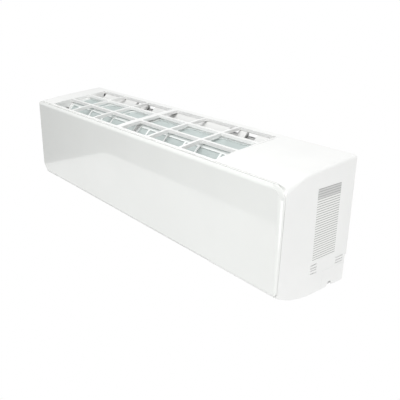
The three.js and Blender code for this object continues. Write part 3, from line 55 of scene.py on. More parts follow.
# %% [markdown]
# ## One way of measuring
#
# The maker's drawing of such a unit is a side view. Lengths below are millimetres: depth counts
# from the panel's face towards the wall, height from the case's lowest line, and x runs to the
# right. One function turns such a point into the scene's metres.

# %% The drawing's frame
CASE_DEPTH = 232.0
CASE_HEIGHT = 296.0
HALF_WIDTH = 550.0
PLATE_CENTRE = 176.0  # height of the origin, the middle of the wall plate


def place(x, depth, height):
    return Vector((x, depth - CASE_DEPTH, height - PLATE_CENTRE)) / 1000


# %% [markdown]
# ## Small tools for shapes
#
# Three things make nearly every moulded piece: an outline pushed along a line, a skin through
# several outlines, and cutting one solid from another. The outlines hold only their corners, and
# a rounding function turns a corner into an arc.


# %% Outlines
def step_range(count):
    return [i / count for i in range(count + 1)]


def arc(centre, radius, start, end, steps):
    angles = [math.radians(start + (end - start) * t) for t in step_range(steps)]
    return [(centre[0] + radius * math.cos(a), centre[1] + radius * math.sin(a)) for a in angles]


def circle(centre, radius, sides=32):
    return arc(centre, radius, 0, 360, sides)[:-1]


def rounded(corners, steps=8):
    """A loop of (a, b, radius) corners, with each corner rounded."""
    loop = []
    for i, (a, b, radius) in enumerate(corners):
        here = Vector((a, b))
        if radius <= 0:
            loop.append((a, b))
            continue
        back = (Vector(corners[i - 1][:2]) - here).normalized()
        on = (Vector(corners[(i + 1) % len(corners)][:2]) - here).normalized()
        half = math.acos(max(-1, min(1, back.dot(on)))) / 2
        middle = here + (back + on).normalized() * (radius / math.sin(half))
        start = here + back * (radius / math.tan(half)) - middle
        end = here + on * (radius / math.tan(half)) - middle
        first = math.degrees(math.atan2(start.y, start.x))
        turn = (math.degrees(math.atan2(end.y, end.x)) - first + 540) % 360 - 180
        loop += arc(middle, radius, first, first + turn, steps)
    return loop


def rectangle(a0, a1, b0, b1, radius=0.0, steps=6):
    return rounded([(a0, b0, radius), (a1, b0, radius), (a1, b1, radius), (a0, b1, radius)], steps)


def beside(path, distance, closed=False):
    """A line moved sideways, to the left of its direction of travel."""
    moved = []
    for i, here in enumerate(path):
        here = Vector(here)
        back = here - Vector(path[i - 1]) if i or closed else Vector(path[1]) - here
        last = i == len(path) - 1
        on = Vector(path[(i + 1) % len(path)]) - here if not last or closed else back
        normals = [Vector((-d.y, d.x)).normalized() for d in (back, on)]
        normal = normals[0] + normals[1]
        moved.append(tuple(here + normal * (2 * distance / normal.length_squared)))
    return moved


def band(path, thickness):
    return list(path) + beside(path, thickness)[::-1]


# %% Solids
def mesh_object(name, points, faces):
    mesh = bpy.data.meshes.new(name)
    mesh.from_pydata([place(*p) for p in points], [], faces)
    shape = bmesh.new()
    shape.from_mesh(mesh)
    bmesh.ops.recalc_face_normals(shape, faces=shape.faces)
    shape.to_mesh(mesh)
    shape.free()
    made = bpy.data.objects.new(name, mesh)
    bpy.context.scene.collection.objects.link(made)
    return made


def loft(name, loops):
    """A closed skin through loops of (x, depth, height) points, with flat ends."""
    size = len(loops[0])
    faces = [list(range(size))]
    for ring in range(len(loops) - 1):
        for i in range(size):
            a, b = ring * size + i, ring * size + (i + 1) % size
            faces.append([a, b, b + size, a + size])
    faces.append([(len(loops) - 1) * size + i for i in range(size)])
    return mesh_object(name, [p for loop in loops for p in loop], faces)


def side_prism(name, outline, x0, x1):
    return loft(name, [[(x, d, h) for d, h in outline] for x in (x0, x1)])


def front_prism(name, outline, depth0, depth1):
    return loft(name, [[(x, depth, h) for x, h in outline] for depth in (depth0, depth1)])


def plan_prism(name, outline, height0, height1):
    return loft(name, [[(x, d, height) for x, d in outline] for height in (height0, height1)])


def block(name, x0, x1, depth0, depth1, height0, height1):
    outline = [(depth0, height0), (depth1, height0), (depth1, height1), (depth0, height1)]
    return side_prism(name, outline, x0, x1)


def remove(*objects):
    for o in objects:
        bpy.data.objects.remove(o)


def bake_modifiers(o):
    """Turns an object's modifiers into its own mesh."""
    bpy.context.view_layer.update()
    evaluated = o.evaluated_get(bpy.context.evaluated_depsgraph_get())
    mesh = bpy.data.meshes.new_from_object(evaluated)
    o.modifiers.clear()
    o.data = mesh
    mesh.name = o.name
    return o


def combine(base, tools, operation):
    """Cuts the tools from the base, joins them to it or keeps what they share."""
    for tool in tools:
        change = base.modifiers.new("change", "BOOLEAN")
        change.operation = operation
        change.solver = "MANIFOLD"
        change.object = tool
    bake_modifiers(base)
    remove(*tools)
    return base


def cut(base, *tools):
    return combine(base, tools, "DIFFERENCE")


def join(base, *tools):
    return combine(base, tools, "UNION")


def keep_common(base, *tools):
    return combine(base, tools, "INTERSECT")


def soften(o, width, segments=2, angle=35):
    """Rounds the hard edges a little, as every mould does, and smooths the rest."""
    if width:
        bevel = o.modifiers.new("edges", "BEVEL")
        bevel.width = width / 1000
        bevel.segments = segments
        bevel.limit_method = "ANGLE"
        bevel.angle_limit = math.radians(angle)
        bevel.use_clamp_overlap = True
        bake_modifiers(o)
    o.data.shade_smooth()
    o.data.set_sharp_from_angle(angle=math.radians(angle))
    flat = o.modifiers.new("large faces stay flat", "WEIGHTED_NORMAL")
    flat.weight = 90
    flat.keep_sharp = True
    return bake_modifiers(o)


# %% [markdown]
# ## Finishes
#
# Moulded plastic is never one flat colour: the mould gives it a very fine grain, and the plastic
# varies a little in tone. A shader node group holds each such effect, so that every material
# that shows it uses the same group with its own values. A group only gives out colours, masks
# and heights. The Principled shader stays in the material itself.


# %% A tool for node groups
def new_group(name, inputs, outputs):
    """inputs and outputs are (name, type, default) lists; type is 'Float' or 'Color'."""
    group = bpy.data.node_groups.new(name, "ShaderNodeTree")
    for in_out, sockets in (("INPUT", inputs), ("OUTPUT", outputs)):
        for socket_name, kind, *default in sockets:
            socket_type = f"NodeSocket{kind}"
            socket = group.interface.new_socket(socket_name, in_out=in_out, socket_type=socket_type)
            if default:
                socket.default_value = default[0]
    return group, group.nodes.new("NodeGroupInput"), group.nodes.new("NodeGroupOutput")


def add_node(tree, kind, settings=None, values=None, feeds=None):
    """A node with its settings, its socket values and what feeds its sockets."""
    node = tree.nodes.new(kind)
    for key, value in (settings or {}).items():
        setattr(node, key, value)
    for key, value in (values or {}).items():
        node.inputs[key].default_value = value
    for key, source in (feeds or {}).items():
        tree.links.new(source, node.inputs[key])
    return node


def maths(tree, operation, a, b=None, clamp=False):
    node = add_node(tree, "ShaderNodeMath", {"operation": operation, "use_clamp": clamp})
    for socket, value in zip(node.inputs, (a, b)):
        if value is None:
            continue
        if isinstance(value, (int, float)):
            socket.default_value = value
        else:
            tree.links.new(value, socket)
    return node.outputs[0]


# %% Moulded grain
def moulded_grain_group():
    group, given, result = new_group(
        "moulded_grain",
        [("Light", "Color", (0.85, 0.85, 0.84, 1)), ("Dark", "Color", (0.8, 0.8, 0.79, 1)),
         ("Grain Scale", "Float", 900.0), ("Tone Scale", "Float", 6.0), ("Gloss", "Float", 0.4)],
        [("Color", "Color"), ("Roughness", "Float"), ("Height", "Float")],
    )
    point = add_node(group, "ShaderNodeTexCoord").outputs["Object"]
    tone = add_node(group, "ShaderNodeTexNoise", values={"Detail": 4.0},
                    feeds={"Vector": point, "Scale": given.outputs["Tone Scale"]})
    grain = add_node(group, "ShaderNodeTexNoise", values={"Detail": 2.0},
                     feeds={"Vector": point, "Scale": given.outputs["Grain Scale"]})
    share = add_node(group, "ShaderNodeMapRange", values={"From Min": 0.35, "From Max": 0.65},
                     feeds={"Value": tone.outputs["Fac"]})
    mix = add_node(group, "ShaderNodeMix", {"data_type": "RGBA"}, feeds={0: share.outputs[0]})
    group.links.new(given.outputs["Dark"], mix.inputs[6])
    group.links.new(given.outputs["Light"], mix.inputs[7])
    uneven = maths(group, "MULTIPLY", maths(group, "SUBTRACT", grain.outputs["Fac"], 0.5), 0.12)
    rough = maths(group, "ADD", given.outputs["Gloss"], uneven, clamp=True)
    group.links.new(mix.outputs[2], result.inputs["Color"])
    group.links.new(rough, result.inputs["Roughness"])
    group.links.new(grain.outputs["Fac"], result.inputs["Height"])
    return group


MOULDED_GRAIN = moulded_grain_group()
print("node group", MOULDED_GRAIN.name)


# %% A material around one group
def shaded(name, group, group_values, shader_values, bump=0.05, bump_distance=0.0002, alpha=False):
    """A Principled material whose colour, roughness and bump come from a node group."""
    material = bpy.data.materials.new(name)
    material.use_nodes = True
    tree = material.node_tree
    shader = tree.nodes["Principled BSDF"]
    effect = add_node(tree, "ShaderNodeGroup", {"node_tree": group}, group_values)
    tree.links.new(effect.outputs["Color"], shader.inputs["Base Color"])
    if "Roughness" in effect.outputs:
        tree.links.new(effect.outputs["Roughness"], shader.inputs["Roughness"])
    if "Height" in effect.outputs and bump:
        relief = add_node(tree, "ShaderNodeBump", values={"Strength": bump, "Distance": bump_distance},
                          feeds={"Height": effect.outputs["Height"]})
        tree.links.new(relief.outputs["Normal"], shader.inputs["Normal"])
    if alpha:
        tree.links.new(effect.outputs["Mask"], shader.inputs["Alpha"])
    for key, value in shader_values.items():
        shader.inputs[key].default_value = value
    return material


def plastic(name, light, dark, gloss, grain_scale=900.0, bump=0.05, **shader_values):
    values = {"Light": (*light, 1), "Dark": (*dark, 1), "Gloss": gloss, "Grain Scale": grain_scale}
    return shaded(name, MOULDED_GRAIN, values, shader_values, bump)


case_white = plastic("case_white", (0.86, 0.86, 0.85), (0.83, 0.83, 0.82), 0.42)
panel_gloss = plastic("panel_gloss", (0.81, 0.82, 0.80), (0.79, 0.80, 0.78), 0.16, 300.0, 0.01,
                      **{"Coat Weight": 1.0, "Coat Roughness": 0.03, "Coat IOR": 1.7})
vane_white = plastic("vane_white", (0.82, 0.82, 0.81), (0.79, 0.79, 0.78), 0.45)
chassis_plastic = plastic("chassis_plastic", (0.76, 0.76, 0.75), (0.72, 0.72, 0.71), 0.55, 700.0, 0.12)
pan_plastic = plastic("pan_plastic", (0.66, 0.66, 0.65), (0.62, 0.62, 0.61), 0.6, 500.0, 0.15)
filter_plastic = plastic("filter_plastic", (0.88, 0.90, 0.89), (0.85, 0.87, 0.86), 0.5)
dark_plastic = plastic("dark_plastic", (0.035, 0.038, 0.04), (0.028, 0.03, 0.032), 0.55, 700.0, 0.15)
rubber = plastic("rubber", (0.02, 0.02, 0.02), (0.014, 0.014, 0.014), 0.85, 1400.0, 0.3)
print("plastics made")


# %% [markdown]
# ## Metals, fins and the filter's net
#
# The sheet steel is galvanised, so it shows faint crystals. The coil is a stack of thin fins,
# drawn as close lines across the unit: light fin edges with painted shade in the dark gaps between
# them. The filter's net is woven from fine threads: a mask lets light through between them, which
# keeps the mesh light while it still looks woven.


# %% Zinc crystals, fins, net and board
def zinc_group():
    group, given, result = new_group(
        "zinc_crystals",
        [("Light", "Color", (0.62, 0.63, 0.64, 1)), ("Dark", "Color", (0.5, 0.51, 0.52, 1)),
         ("Scale", "Float", 90.0)],
        [("Color", "Color"), ("Roughness", "Float"), ("Height", "Float")],
    )
    point = add_node(group, "ShaderNodeTexCoord").outputs["Object"]
    crystals = add_node(group, "ShaderNodeTexVoronoi",
                        feeds={"Vector": point, "Scale": given.outputs["Scale"]})
    fine = add_node(group, "ShaderNodeTexNoise", values={"Scale": 600.0}, feeds={"Vector": point})
    split = add_node(group, "ShaderNodeSeparateColor", feeds={0: crystals.outputs["Color"]})
    mix = add_node(group, "ShaderNodeMix", {"data_type": "RGBA"}, feeds={0: split.outputs[0]})
    group.links.new(given.outputs["Dark"], mix.inputs[6])
    group.links.new(given.outputs["Light"], mix.inputs[7])
    group.links.new(mix.outputs[2], result.inputs["Color"])
    rough = maths(group, "ADD", maths(group, "MULTIPLY", split.outputs[1], 0.12), 0.32)
    group.links.new(rough, result.inputs["Roughness"])
    group.links.new(fine.outputs["Fac"], result.inputs["Height"])
    return group


FIN_PITCH = 0.0028


# The Gap colour is painted shade: the dark lines between the fins stand for the shade in the narrow gaps.
def fin_group():
    group, given, result = new_group(
        "coil_fins",
        [("Edge", "Color", (0.72, 0.74, 0.75, 1)), ("Gap", "Color", (0.12, 0.13, 0.13, 1))],
        [("Color", "Color"), ("Roughness", "Float"), ("Height", "Float")],
    )
    point = add_node(group, "ShaderNodeTexCoord").outputs["Object"]
    split = add_node(group, "ShaderNodeSeparateXYZ", feeds={0: point})
    wave = maths(group, "SINE", maths(group, "MULTIPLY", split.outputs[0], 2 * math.pi / FIN_PITCH))
    height = maths(group, "ADD", maths(group, "MULTIPLY", wave, 0.5), 0.5)
    bent = add_node(group, "ShaderNodeTexNoise", values={"Scale": 40.0}, feeds={"Vector": point})
    share = maths(group, "MULTIPLY", height, maths(group, "ADD", bent.outputs["Fac"], 0.4), clamp=True)
    mix = add_node(group, "ShaderNodeMix", {"data_type": "RGBA"}, feeds={0: share})
    group.links.new(given.outputs["Gap"], mix.inputs[6])
    group.links.new(given.outputs["Edge"], mix.inputs[7])
    group.links.new(mix.outputs[2], result.inputs["Color"])
    rough = maths(group, "ADD", maths(group, "MULTIPLY", bent.outputs["Fac"], 0.2), 0.25)
    group.links.new(rough, result.inputs["Roughness"])
    group.links.new(height, result.inputs["Height"])
    return group


def net_group():
    group, given, result = new_group(
        "woven_net",
        [("Thread", "Color", (0.60, 0.65, 0.64, 1)), ("Shade", "Color", (0.46, 0.52, 0.51, 1)),
         ("Pitch", "Float", 0.0016), ("Cover", "Float", 0.78)],
        [("Color", "Color"), ("Roughness", "Float"), ("Height", "Float"), ("Mask", "Float")],
    )
    point = add_node(group, "ShaderNodeTexCoord").outputs["UV"]
    split = add_node(group, "ShaderNodeSeparateXYZ", feeds={0: point})
    waves = []
    for axis in (0, 1):
        travel = maths(group, "MULTIPLY", split.outputs[axis], 2 * math.pi)
        wave = maths(group, "SINE", maths(group, "DIVIDE", travel, given.outputs["Pitch"]))
        waves.append(maths(group, "ADD", maths(group, "MULTIPLY", wave, 0.5), 0.5))
    height = maths(group, "MAXIMUM", waves[0], waves[1])
    mask = maths(group, "GREATER_THAN", height, maths(group, "SUBTRACT", 1.0, given.outputs["Cover"]))
    tone = add_node(group, "ShaderNodeTexNoise", values={"Scale": 18.0}, feeds={"Vector": point})
    mix = add_node(group, "ShaderNodeMix", {"data_type": "RGBA"}, feeds={0: tone.outputs["Fac"]})
    group.links.new(given.outputs["Shade"], mix.inputs[6])
    group.links.new(given.outputs["Thread"], mix.inputs[7])
    group.links.new(mix.outputs[2], result.inputs["Color"])
    rough = maths(group, "ADD", maths(group, "MULTIPLY", tone.outputs["Fac"], 0.2), 0.5)
    group.links.new(rough, result.inputs["Roughness"])
    group.links.new(height, result.inputs["Height"])
    group.links.new(mask, result.inputs["Mask"])
    return group


ZINC, FINS, NET = zinc_group(), fin_group(), net_group()


def metal(name, light, dark, scale=90.0, metallic=0.95, bump=0.06):
    values = {"Light": (*light, 1), "Dark": (*dark, 1), "Scale": scale}
    return shaded(name, ZINC, values, {"Metallic": metallic}, bump)


galvanised_steel = metal("galvanised_steel", (0.64, 0.65, 0.66), (0.54, 0.55, 0.56))
copper = metal("copper", (0.74, 0.40, 0.26), (0.66, 0.34, 0.21), 30.0)
brass = metal("brass", (0.74, 0.58, 0.28), (0.68, 0.52, 0.24), 40.0)
coil_fins = shaded("coil_fins", FINS, {}, {"Metallic": 0.75}, 0.5, 0.0006)
filter_mesh = shaded("filter_mesh", NET, {}, {}, 0.3, 0.0003, alpha=True)
circuit_board = plastic("circuit_board", (0.03, 0.16, 0.07), (0.02, 0.12, 0.05), 0.35, 400.0, 0.05)
finishes = [
    case_white, panel_gloss, vane_white, chassis_plastic, pan_plastic, filter_plastic, dark_plastic,
    rubber, galvanised_steel, copper, brass, coil_fins, filter_mesh, circuit_board,
]
FINISH = {finish.name: finish for finish in finishes}

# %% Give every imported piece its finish
for subpart in frame["record"]["subparts"]:
    node = frame["nodes"][subpart["node"]]
    node.data.materials.clear()
    node.data.materials.append(FINISH[subpart["material_slot"]])


def dress(piece, finish, body, *nodes):
    """A new piece gets its finish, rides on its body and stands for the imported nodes."""
    piece.data.materials.clear()
    piece.data.materials.append(FINISH[finish])
    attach(piece, body)
    if nodes:
        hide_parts(*nodes)
    print(piece.name, "made with", len(piece.data.polygons), "faces")
    return piece


# %% [markdown]
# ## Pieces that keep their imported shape
#
# The inner pieces and the small outer ones keep the shape that they were packed with. A moulded or
# pressed piece has no edge of zero width, though, and a round bar looks round. So such a piece is
# copied, its triangles are joined into whole flat faces again, its edges are rounded a little and
# its curves are shaded smooth.


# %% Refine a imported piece
BODY_OF = {node: body for body, nodes in frame["record"]["behaviour"]["bodies"].items() for node in nodes}
SLOT_OF = {subpart["node"]: subpart["material_slot"] for subpart in frame["record"]["subparts"]}


def packed_copy(node):
    packed = frame["nodes"][node].data
    mesh = bpy.data.meshes.new(f"{node}_fine")
    mesh.from_pydata([v.co for v in packed.vertices], [], [f.vertices for f in packed.polygons])
    shape = bmesh.new()
    shape.from_mesh(mesh)
    bmesh.ops.remove_doubles(shape, verts=shape.verts, dist=1e-6)
    shape.to_mesh(mesh)
    shape.free()
    piece = bpy.data.objects.new(mesh.name, mesh)
    bpy.context.scene.collection.objects.link(piece)
    return piece


def finished(piece, node, width, angle=35):
    """Flat faces become whole again, then the edges are rounded and the piece takes the node's place."""
    shape = bmesh.new()
    shape.from_mesh(piece.data)
    bmesh.ops.dissolve_limit(shape, angle_limit=math.radians(1), verts=shape.verts, edges=shape.edges)
    shape.to_mesh(piece.data)
    shape.free()
    return dress(soften(piece, width, 1, angle), SLOT_OF[node], BODY_OF[node], node)


def refined(node, width, angle=35):
    return finished(packed_copy(node), node, width, angle)


SMALL_ROUND = 0.3
for node in ("pipe_knockout_right", "pipe_knockout_left", "drain_pan", "pipe_clamp", "electrical_box",
             "electrical_cover", "terminal_block", "main_board", "fan_motor", "louver_motor"):
    refined(node, SMALL_ROUND)
for node in ("suction_pipe", "liquid_pipe", "motor_shaft", "suction_flare_nut", "liquid_flare_nut"):
    refined(node, 0.0, 55)
for node in (n for n in SLOT_OF if n.startswith(("vane_", "link_rod_"))):
    refined(node, 0.2)

# %% [markdown]
# ## The back wall and its hooks
#
# Through the last row of the grille one looks at the chassis's back wall. It has a window in front
# of each hook of the wall plate, which shows dark, and short upright ribs between. Both pieces start
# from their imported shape: the windows are cut, the ribs are joined on, and the plate's hooks stand
# behind the windows.

# %% The chassis and the wall plate
BACK_WALL_DEPTH = 216.0
CHASSIS_WALL = 3.0
HOOK_X = (-253.0, -189.0, 189.0, 253.0)
PACKED_HOOK_X = (-250.0, 0.0, 250.0)
PACKED_SLOT = {"width": 44.0, "low": 259.0, "high": 271.5}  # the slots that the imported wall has
PACKED_HOOKS_REACH = 300.0
HOOK_WINDOW = {"width": 36.0, "low": 272.0, "high": 285.0}
HOOK_WIDTH, HOOK_TIP_DEPTH, PLATE_TOP, PLATE_STEEL = 30.0, 222.0, 270.0, 1.2
HEAD_RIB = {"thick": 2.0, "deep": 5.0, "low": 267.0, "high": 285.0}
HEAD_RIB_X = (-338.0, -206.0, -67.0, 66.0, 198.0)
# The upper wall leans back; this is its section
LEAN = ((217.0, 289.0), (188.0, 262.0), (188.0, 259.0), (191.0, 259.0), (217.5, 283.0))
LEAN_ENDS = (-466.0, 332.0)


def centred(name, x, width, *sides):
    return block(name, x - width / 2, x + width / 2, *sides)


def chassis():
    back = BACK_WALL_DEPTH + CHASSIS_WALL
    fill = [centred("fill", x, PACKED_SLOT["width"], BACK_WALL_DEPTH + 0.2, back - 0.2,
                    PACKED_SLOT["low"], PACKED_SLOT["high"]) for x in PACKED_HOOK_X]
    ribs = [centred("rib", x, HEAD_RIB["thick"], BACK_WALL_DEPTH - HEAD_RIB["deep"], BACK_WALL_DEPTH + 1,
                    HEAD_RIB["low"], HEAD_RIB["high"]) for x in HEAD_RIB_X]
    windows = [centred("window", x, HOOK_WINDOW["width"], LEAN[1][0] - 1, back + 1,
                       HOOK_WINDOW["low"], HOOK_WINDOW["high"]) for x in HOOK_X]
    leaning = side_prism("leaning", LEAN, *LEAN_ENDS)
    walls = join(packed_copy("rear_chassis"), *fill, leaning, *ribs)
    return finished(cut(walls, *windows), "rear_chassis", 0.3)


def wall_plate():
    front = CASE_DEPTH - PLATE_STEEL
    hook_depths = (BACK_WALL_DEPTH - 6, front - 0.05)
    reach = PACKED_HOOKS_REACH
    old_hooks = block("old", -reach, reach, *hook_depths, PLATE_TOP - 2, PLATE_TOP + 12)
    line = [(front + 0.6, PLATE_TOP), (HOOK_TIP_DEPTH, PLATE_TOP), (HOOK_TIP_DEPTH, PLATE_TOP + 4)]
    half = HOOK_WIDTH / 2
    hooks = [side_prism("hook", band(line, PLATE_STEEL), x - half, x + half) for x in HOOK_X]
    plate = join(cut(packed_copy("mounting_plate"), old_hooks), *hooks)
    return finished(plate, "mounting_plate", 0.3)


chassis()
wall_plate()

# %% [markdown]
# ## The case
#
# The case is one white moulding. In the side view its top falls gently to the front and its
# underside is a long curve, so the skin is lofted between its two ends, where the top edge is
# rounded. Then the hollow and all the openings are cut, as the mould's cores would leave them.

# %% The case's outline
TOP_DROP = 27.0
TOP_BEND = 1.45
SHELL = 2.6
REAR_GAP = 0.8  # the case ends this far in front of the wall
END_ROUND = 7.0
FRONT_EDGE_DEPTH = 15.0
FRONT_LOW = (6.5, 36.0)  # lower end of the front wall, above the lip
CHIN = ((2.5, 31.0), (38.0, 7.0), (105.0, 0.0))  # from the lip under the panel to the level underside


def top_height(depth):
    return CASE_HEIGHT - TOP_DROP * max(0.0, 1 - depth / CASE_DEPTH) ** TOP_BEND


def case_front(height):
    low, high = FRONT_LOW[1], top_height(FRONT_EDGE_DEPTH)
    return FRONT_LOW[0] + (FRONT_EDGE_DEPTH - FRONT_LOW[0]) * (height - low) / (high - low)


def chin_curve(t):
    a, b, c = (Vector(p) for p in CHIN)
    return tuple(a * (1 - t) ** 2 + b * 2 * t * (1 - t) + c * t * t)


def case_section(inset, rear, steps=28):
    depths = [rear + (FRONT_EDGE_DEPTH - rear) * t for t in step_range(steps)]
    top = [(depth, top_height(depth) - inset) for depth in depths]
    return [chin_curve(t) for t in step_range(steps)] + [(rear, 0.0)] + top + [FRONT_LOW]


def case_body():
    rear = CASE_DEPTH - REAR_GAP
    stations = []
    for angle in range(0, 91, 10):
        a = math.radians(angle)
        stations.append((HALF_WIDTH - END_ROUND * (1 - math.cos(a)), END_ROUND * (1 - math.sin(a))))
    stations = [(-x, inset) for x, inset in stations] + stations[::-1]
    loops = [[(x, d, h) for d, h in case_section(inset, rear)] for x, inset in stations]
    return loft("front_case_fine", loops)


def case_hollow():
    loops = []
    reach = HALF_WIDTH - SHELL
    corner = END_ROUND - SHELL
    for x, inset in ((-reach, corner), (-reach + corner, 0), (reach - corner, 0), (reach, corner)):
        line = beside(case_section(inset, CASE_DEPTH + 8), SHELL, closed=True)
        loops.append([(x, d, h) for d, h in line])
    return loft("case_hollow", loops)


CORNER_ROUND = (36.0, 7.0)  # radius of the two round corners, at the front and further back
CORNER_REACH = 70.0  # depth where the smaller radius is reached
LOW_CORNER = {"height": 30.0, "under": 9.0, "reach": 60.0}  # the lower corner sinks to the underside
CLEAR = 0.2


def two_corners(inset=0.0):
    """All that the case may fill: two of its corners are round in front, as the panel's are."""
    loops = []
    side = HALF_WIDTH + CLEAR - inset
    for depth in (-2.0, 5.0, 15.0, 30.0, 50.0, CORNER_REACH, CASE_DEPTH + 10):
        ahead = max(0.0, depth)
        share = min(1.0, ahead / CORNER_REACH)
        radius = CORNER_ROUND[0] + (CORNER_ROUND[1] - CORNER_ROUND[0]) * share ** 0.7
        top = top_height(ahead) + CLEAR - inset
        share = min(1.0, ahead / LOW_CORNER["reach"])
        low = LOW_CORNER["height"] * (1 - share) - LOW_CORNER["under"] * share
        left = [(-side, low, radius)]
        right = [(side, low - LOW_CORNER["under"], 0), (side, top, radius)]
        outline = rounded(left + right + [(-side, top, 0)], 16)
        loops.append([(x, depth, h) for x, h in outline])
    return loft("two_corners", loops)


# %% The inlet grille
BAY_LEFT, BAY_WIDTH = -469.0, 804.0
BAY_RIGHT = BAY_LEFT + BAY_WIDTH
GRILLE = {"rib": 9.0, "divider": 22.0, "deep": 9.0, "border": 6.0}
GRILLE_ROWS = ((20.0, 83.0), (90.0, 147.0), (154.0, 212.5))  # where each row starts and ends, in depth
COLUMNS = 3
CELL_CORNER = 2.5
CELL_WIDTH = ((BAY_WIDTH - GRILLE["divider"]) / 2 - GRILLE["rib"] * (COLUMNS - 1)) / COLUMNS


def grille_block():
    front, rear = GRILLE_ROWS[0][0] - GRILLE["border"], BACK_WALL_DEPTH - 0.3
    depths = [front + (rear - front) * t for t in step_range(20)]
    line = [(d, top_height(d) - SHELL / 2) for d in depths]
    low = [(d, top_height(d) - GRILLE["deep"]) for d in depths]
    ends = (BAY_LEFT - GRILLE["border"], BAY_RIGHT + GRILLE["border"])
    return side_prism("grille_block", line + low[::-1], *ends)


def bay_starts():
    half = (BAY_WIDTH - GRILLE["divider"]) / 2
    return [BAY_LEFT, BAY_LEFT + half + GRILLE["divider"]]


def column_starts():
    pitch = CELL_WIDTH + GRILLE["rib"]
    return [start + column * pitch for start in bay_starts() for column in range(COLUMNS)]


def grille_cells():
    cells = []
    for x in column_starts():
        for front, rear in GRILLE_ROWS:
            outline = rectangle(x, x + CELL_WIDTH, front, rear, CELL_CORNER, 4)
            low = top_height(front) - GRILLE["deep"] - 2
            cells.append(plan_prism("cell", outline, low, CASE_HEIGHT + 1))
    return cells


# %% The filters' line
FILTER_PATH = ((25.0, 66.0), (25.0, 198.0), (88.0, 265.0), (172.0, 277.6))
FILTER_ROUND = 22.0
FILTER_THICK = 2.2
FIT = 0.3


def filter_line(steps=8):
    last = len(FILTER_PATH) - 1
    return rounded([(*p, FILTER_ROUND if 0 < i < last else 0) for i, p in enumerate(FILTER_PATH)], steps)


# %% Cut and dress the case
PANEL_HINGE = (9.0, CASE_HEIGHT - 35.0)
PANEL_ROUND, PANEL_GAP, GROOVE_GAP = 9.0, 1.0, 0.4
HINGE_X = HALF_WIDTH - 45.0
HINGE_PIN, HINGE_EAR, EAR_THICK = 2.5, 5.4, 4.0
BELLY_END = CASE_DEPTH - 82.0
REAR_STEP, REAR_STEP_HEIGHT = 6.0, 62.0
OUTLET_REAR = 102.4
CHIN_RAIL = 44.0
CASE_SCREWS = (BAY_LEFT + 49.0, BAY_LEFT + BAY_WIDTH / 2, BAY_RIGHT - 49.0)
SCREW_HEIGHT = 53.0
SCREW_HOLE = 2.2
DOOR_DEPTH = 24.0  # openings behind the panel are cut this deep
DOOR_CORNER = 6.0
FILTER_DOOR = (BAY_LEFT - 6.0, BAY_RIGHT + 6.0, 62.0, 245.0)
BOX_WINDOW = (352.0, 528.0, 60.0, 232.0)
KNOCKOUT = (BELLY_END, CASE_DEPTH - REAR_STEP, 0.0, 46.0)


def hinge_ear(side):
    depth, height = PANEL_HINGE
    neck = arc(PANEL_HINGE, HINGE_EAR, 0, 200, 18)
    neck += [(depth - 1.5, height - 8), (depth + 6, height - 22), (depth + 9, height - 22)]
    near = HINGE_X + EAR_THICK / 2 + PANEL_GAP
    x0, x1 = sorted((side * near, side * (near + EAR_THICK)))
    ear = side_prism("ear", neck, x0, x1)
    return cut(ear, side_prism("bore", circle(PANEL_HINGE, HINGE_PIN + 0.6, 24), x0 - 1, x1 + 1))


RAIL_WIDTH, RAIL_THICK = 7.0, 2.0
STOP_LOW, STOP_HIGH = 59.6, 66.0  # the stops under the filters' lower ends


def filter_rails():
    """The guides behind the filters, each hung from the grille and ending in a stop at the front."""
    line = beside(filter_line(), FILTER_THICK + FIT)
    depth, height = line[-1]
    middle = BAY_LEFT + BAY_WIDTH / 2 - RAIL_WIDTH / 2
    parts = []
    for x in (BAY_LEFT, middle, BAY_RIGHT - RAIL_WIDTH):
        ends = (x, x + RAIL_WIDTH)
        parts.append(side_prism("rail", band(line, RAIL_THICK), *ends))
        under_grille = top_height(depth - 12) - GRILLE["deep"] + 1
        parts.append(block("hanger", *ends, depth - 12, depth, height, under_grille))
        stop_depths = (case_front(STOP_HIGH) + 1, FILTER_PATH[0][0] + 1)
        parts.append(block("stop", *ends, *stop_depths, STOP_LOW, STOP_HIGH - FIT))
    return parts


BAY_WALL = {"front": 22.0, "rear": 205.0, "low": 255.0, "thick": 2.0, "gap": 0.5}
LIP_END = (CHIN[0], (2.5, 35.6), (5.2, 35.6), (9.0, 40.0), (9.0, 27.0))
LIP_INSET = 44.0  # the lip's left end, from the case's, beside its round corner
OUTLET_GAP = 1.2  # between the louver's bay and the case on each side


def bay_sides():
    """Upright walls that close the sides of the inlet bay, under the grille's ends."""
    depths = [BAY_WALL["front"] + (BAY_WALL["rear"] - BAY_WALL["front"]) * t for t in step_range(10)]
    outline = [(d, top_height(d) - GRILLE["deep"] + 1) for d in depths]
    outline += [(BAY_WALL["rear"], BAY_WALL["low"]), (BAY_WALL["front"], BAY_WALL["low"])]
    gap, thick = BAY_WALL["gap"], BAY_WALL["thick"]
    left = (BAY_LEFT - thick - gap, BAY_LEFT - gap)
    right = (BAY_RIGHT + gap, BAY_RIGHT + thick + gap)
    return [side_prism("bay_side", outline, *ends) for ends in (left, right)]


def lip_ends():
    """On both sides of the outlet the lip rises close under the panel's edge."""
    left = (-HALF_WIDTH + LIP_INSET, BAY_LEFT - OUTLET_GAP)
    right = (BAY_RIGHT + OUTLET_GAP, HALF_WIDTH - END_ROUND)
    return [side_prism("lip", LIP_END, *ends) for ends in (left, right)]


# Slits in the right end: where each group starts and ends in depth, and its heights
SLITS = ((107.0, 128.0, (70.0, 63.0, 57.0, 50.0)), (192.0, 219.0, (64.0, 57.0, 50.5)))
SLIT_HIGH = 1.6


def end_slits():
    slits = []
    ends = (HALF_WIDTH - SHELL - 1, HALF_WIDTH + 1)
    for start, end, heights in SLITS:
        slits += [block("slit", *ends, start, end, height, height + SLIT_HIGH) for height in heights]
    return slits


STICKER = (111.0, 186.0, 79.0, 244.0)  # depths and heights of the blank sticker in the right end
STICKER_THICK = 0.25


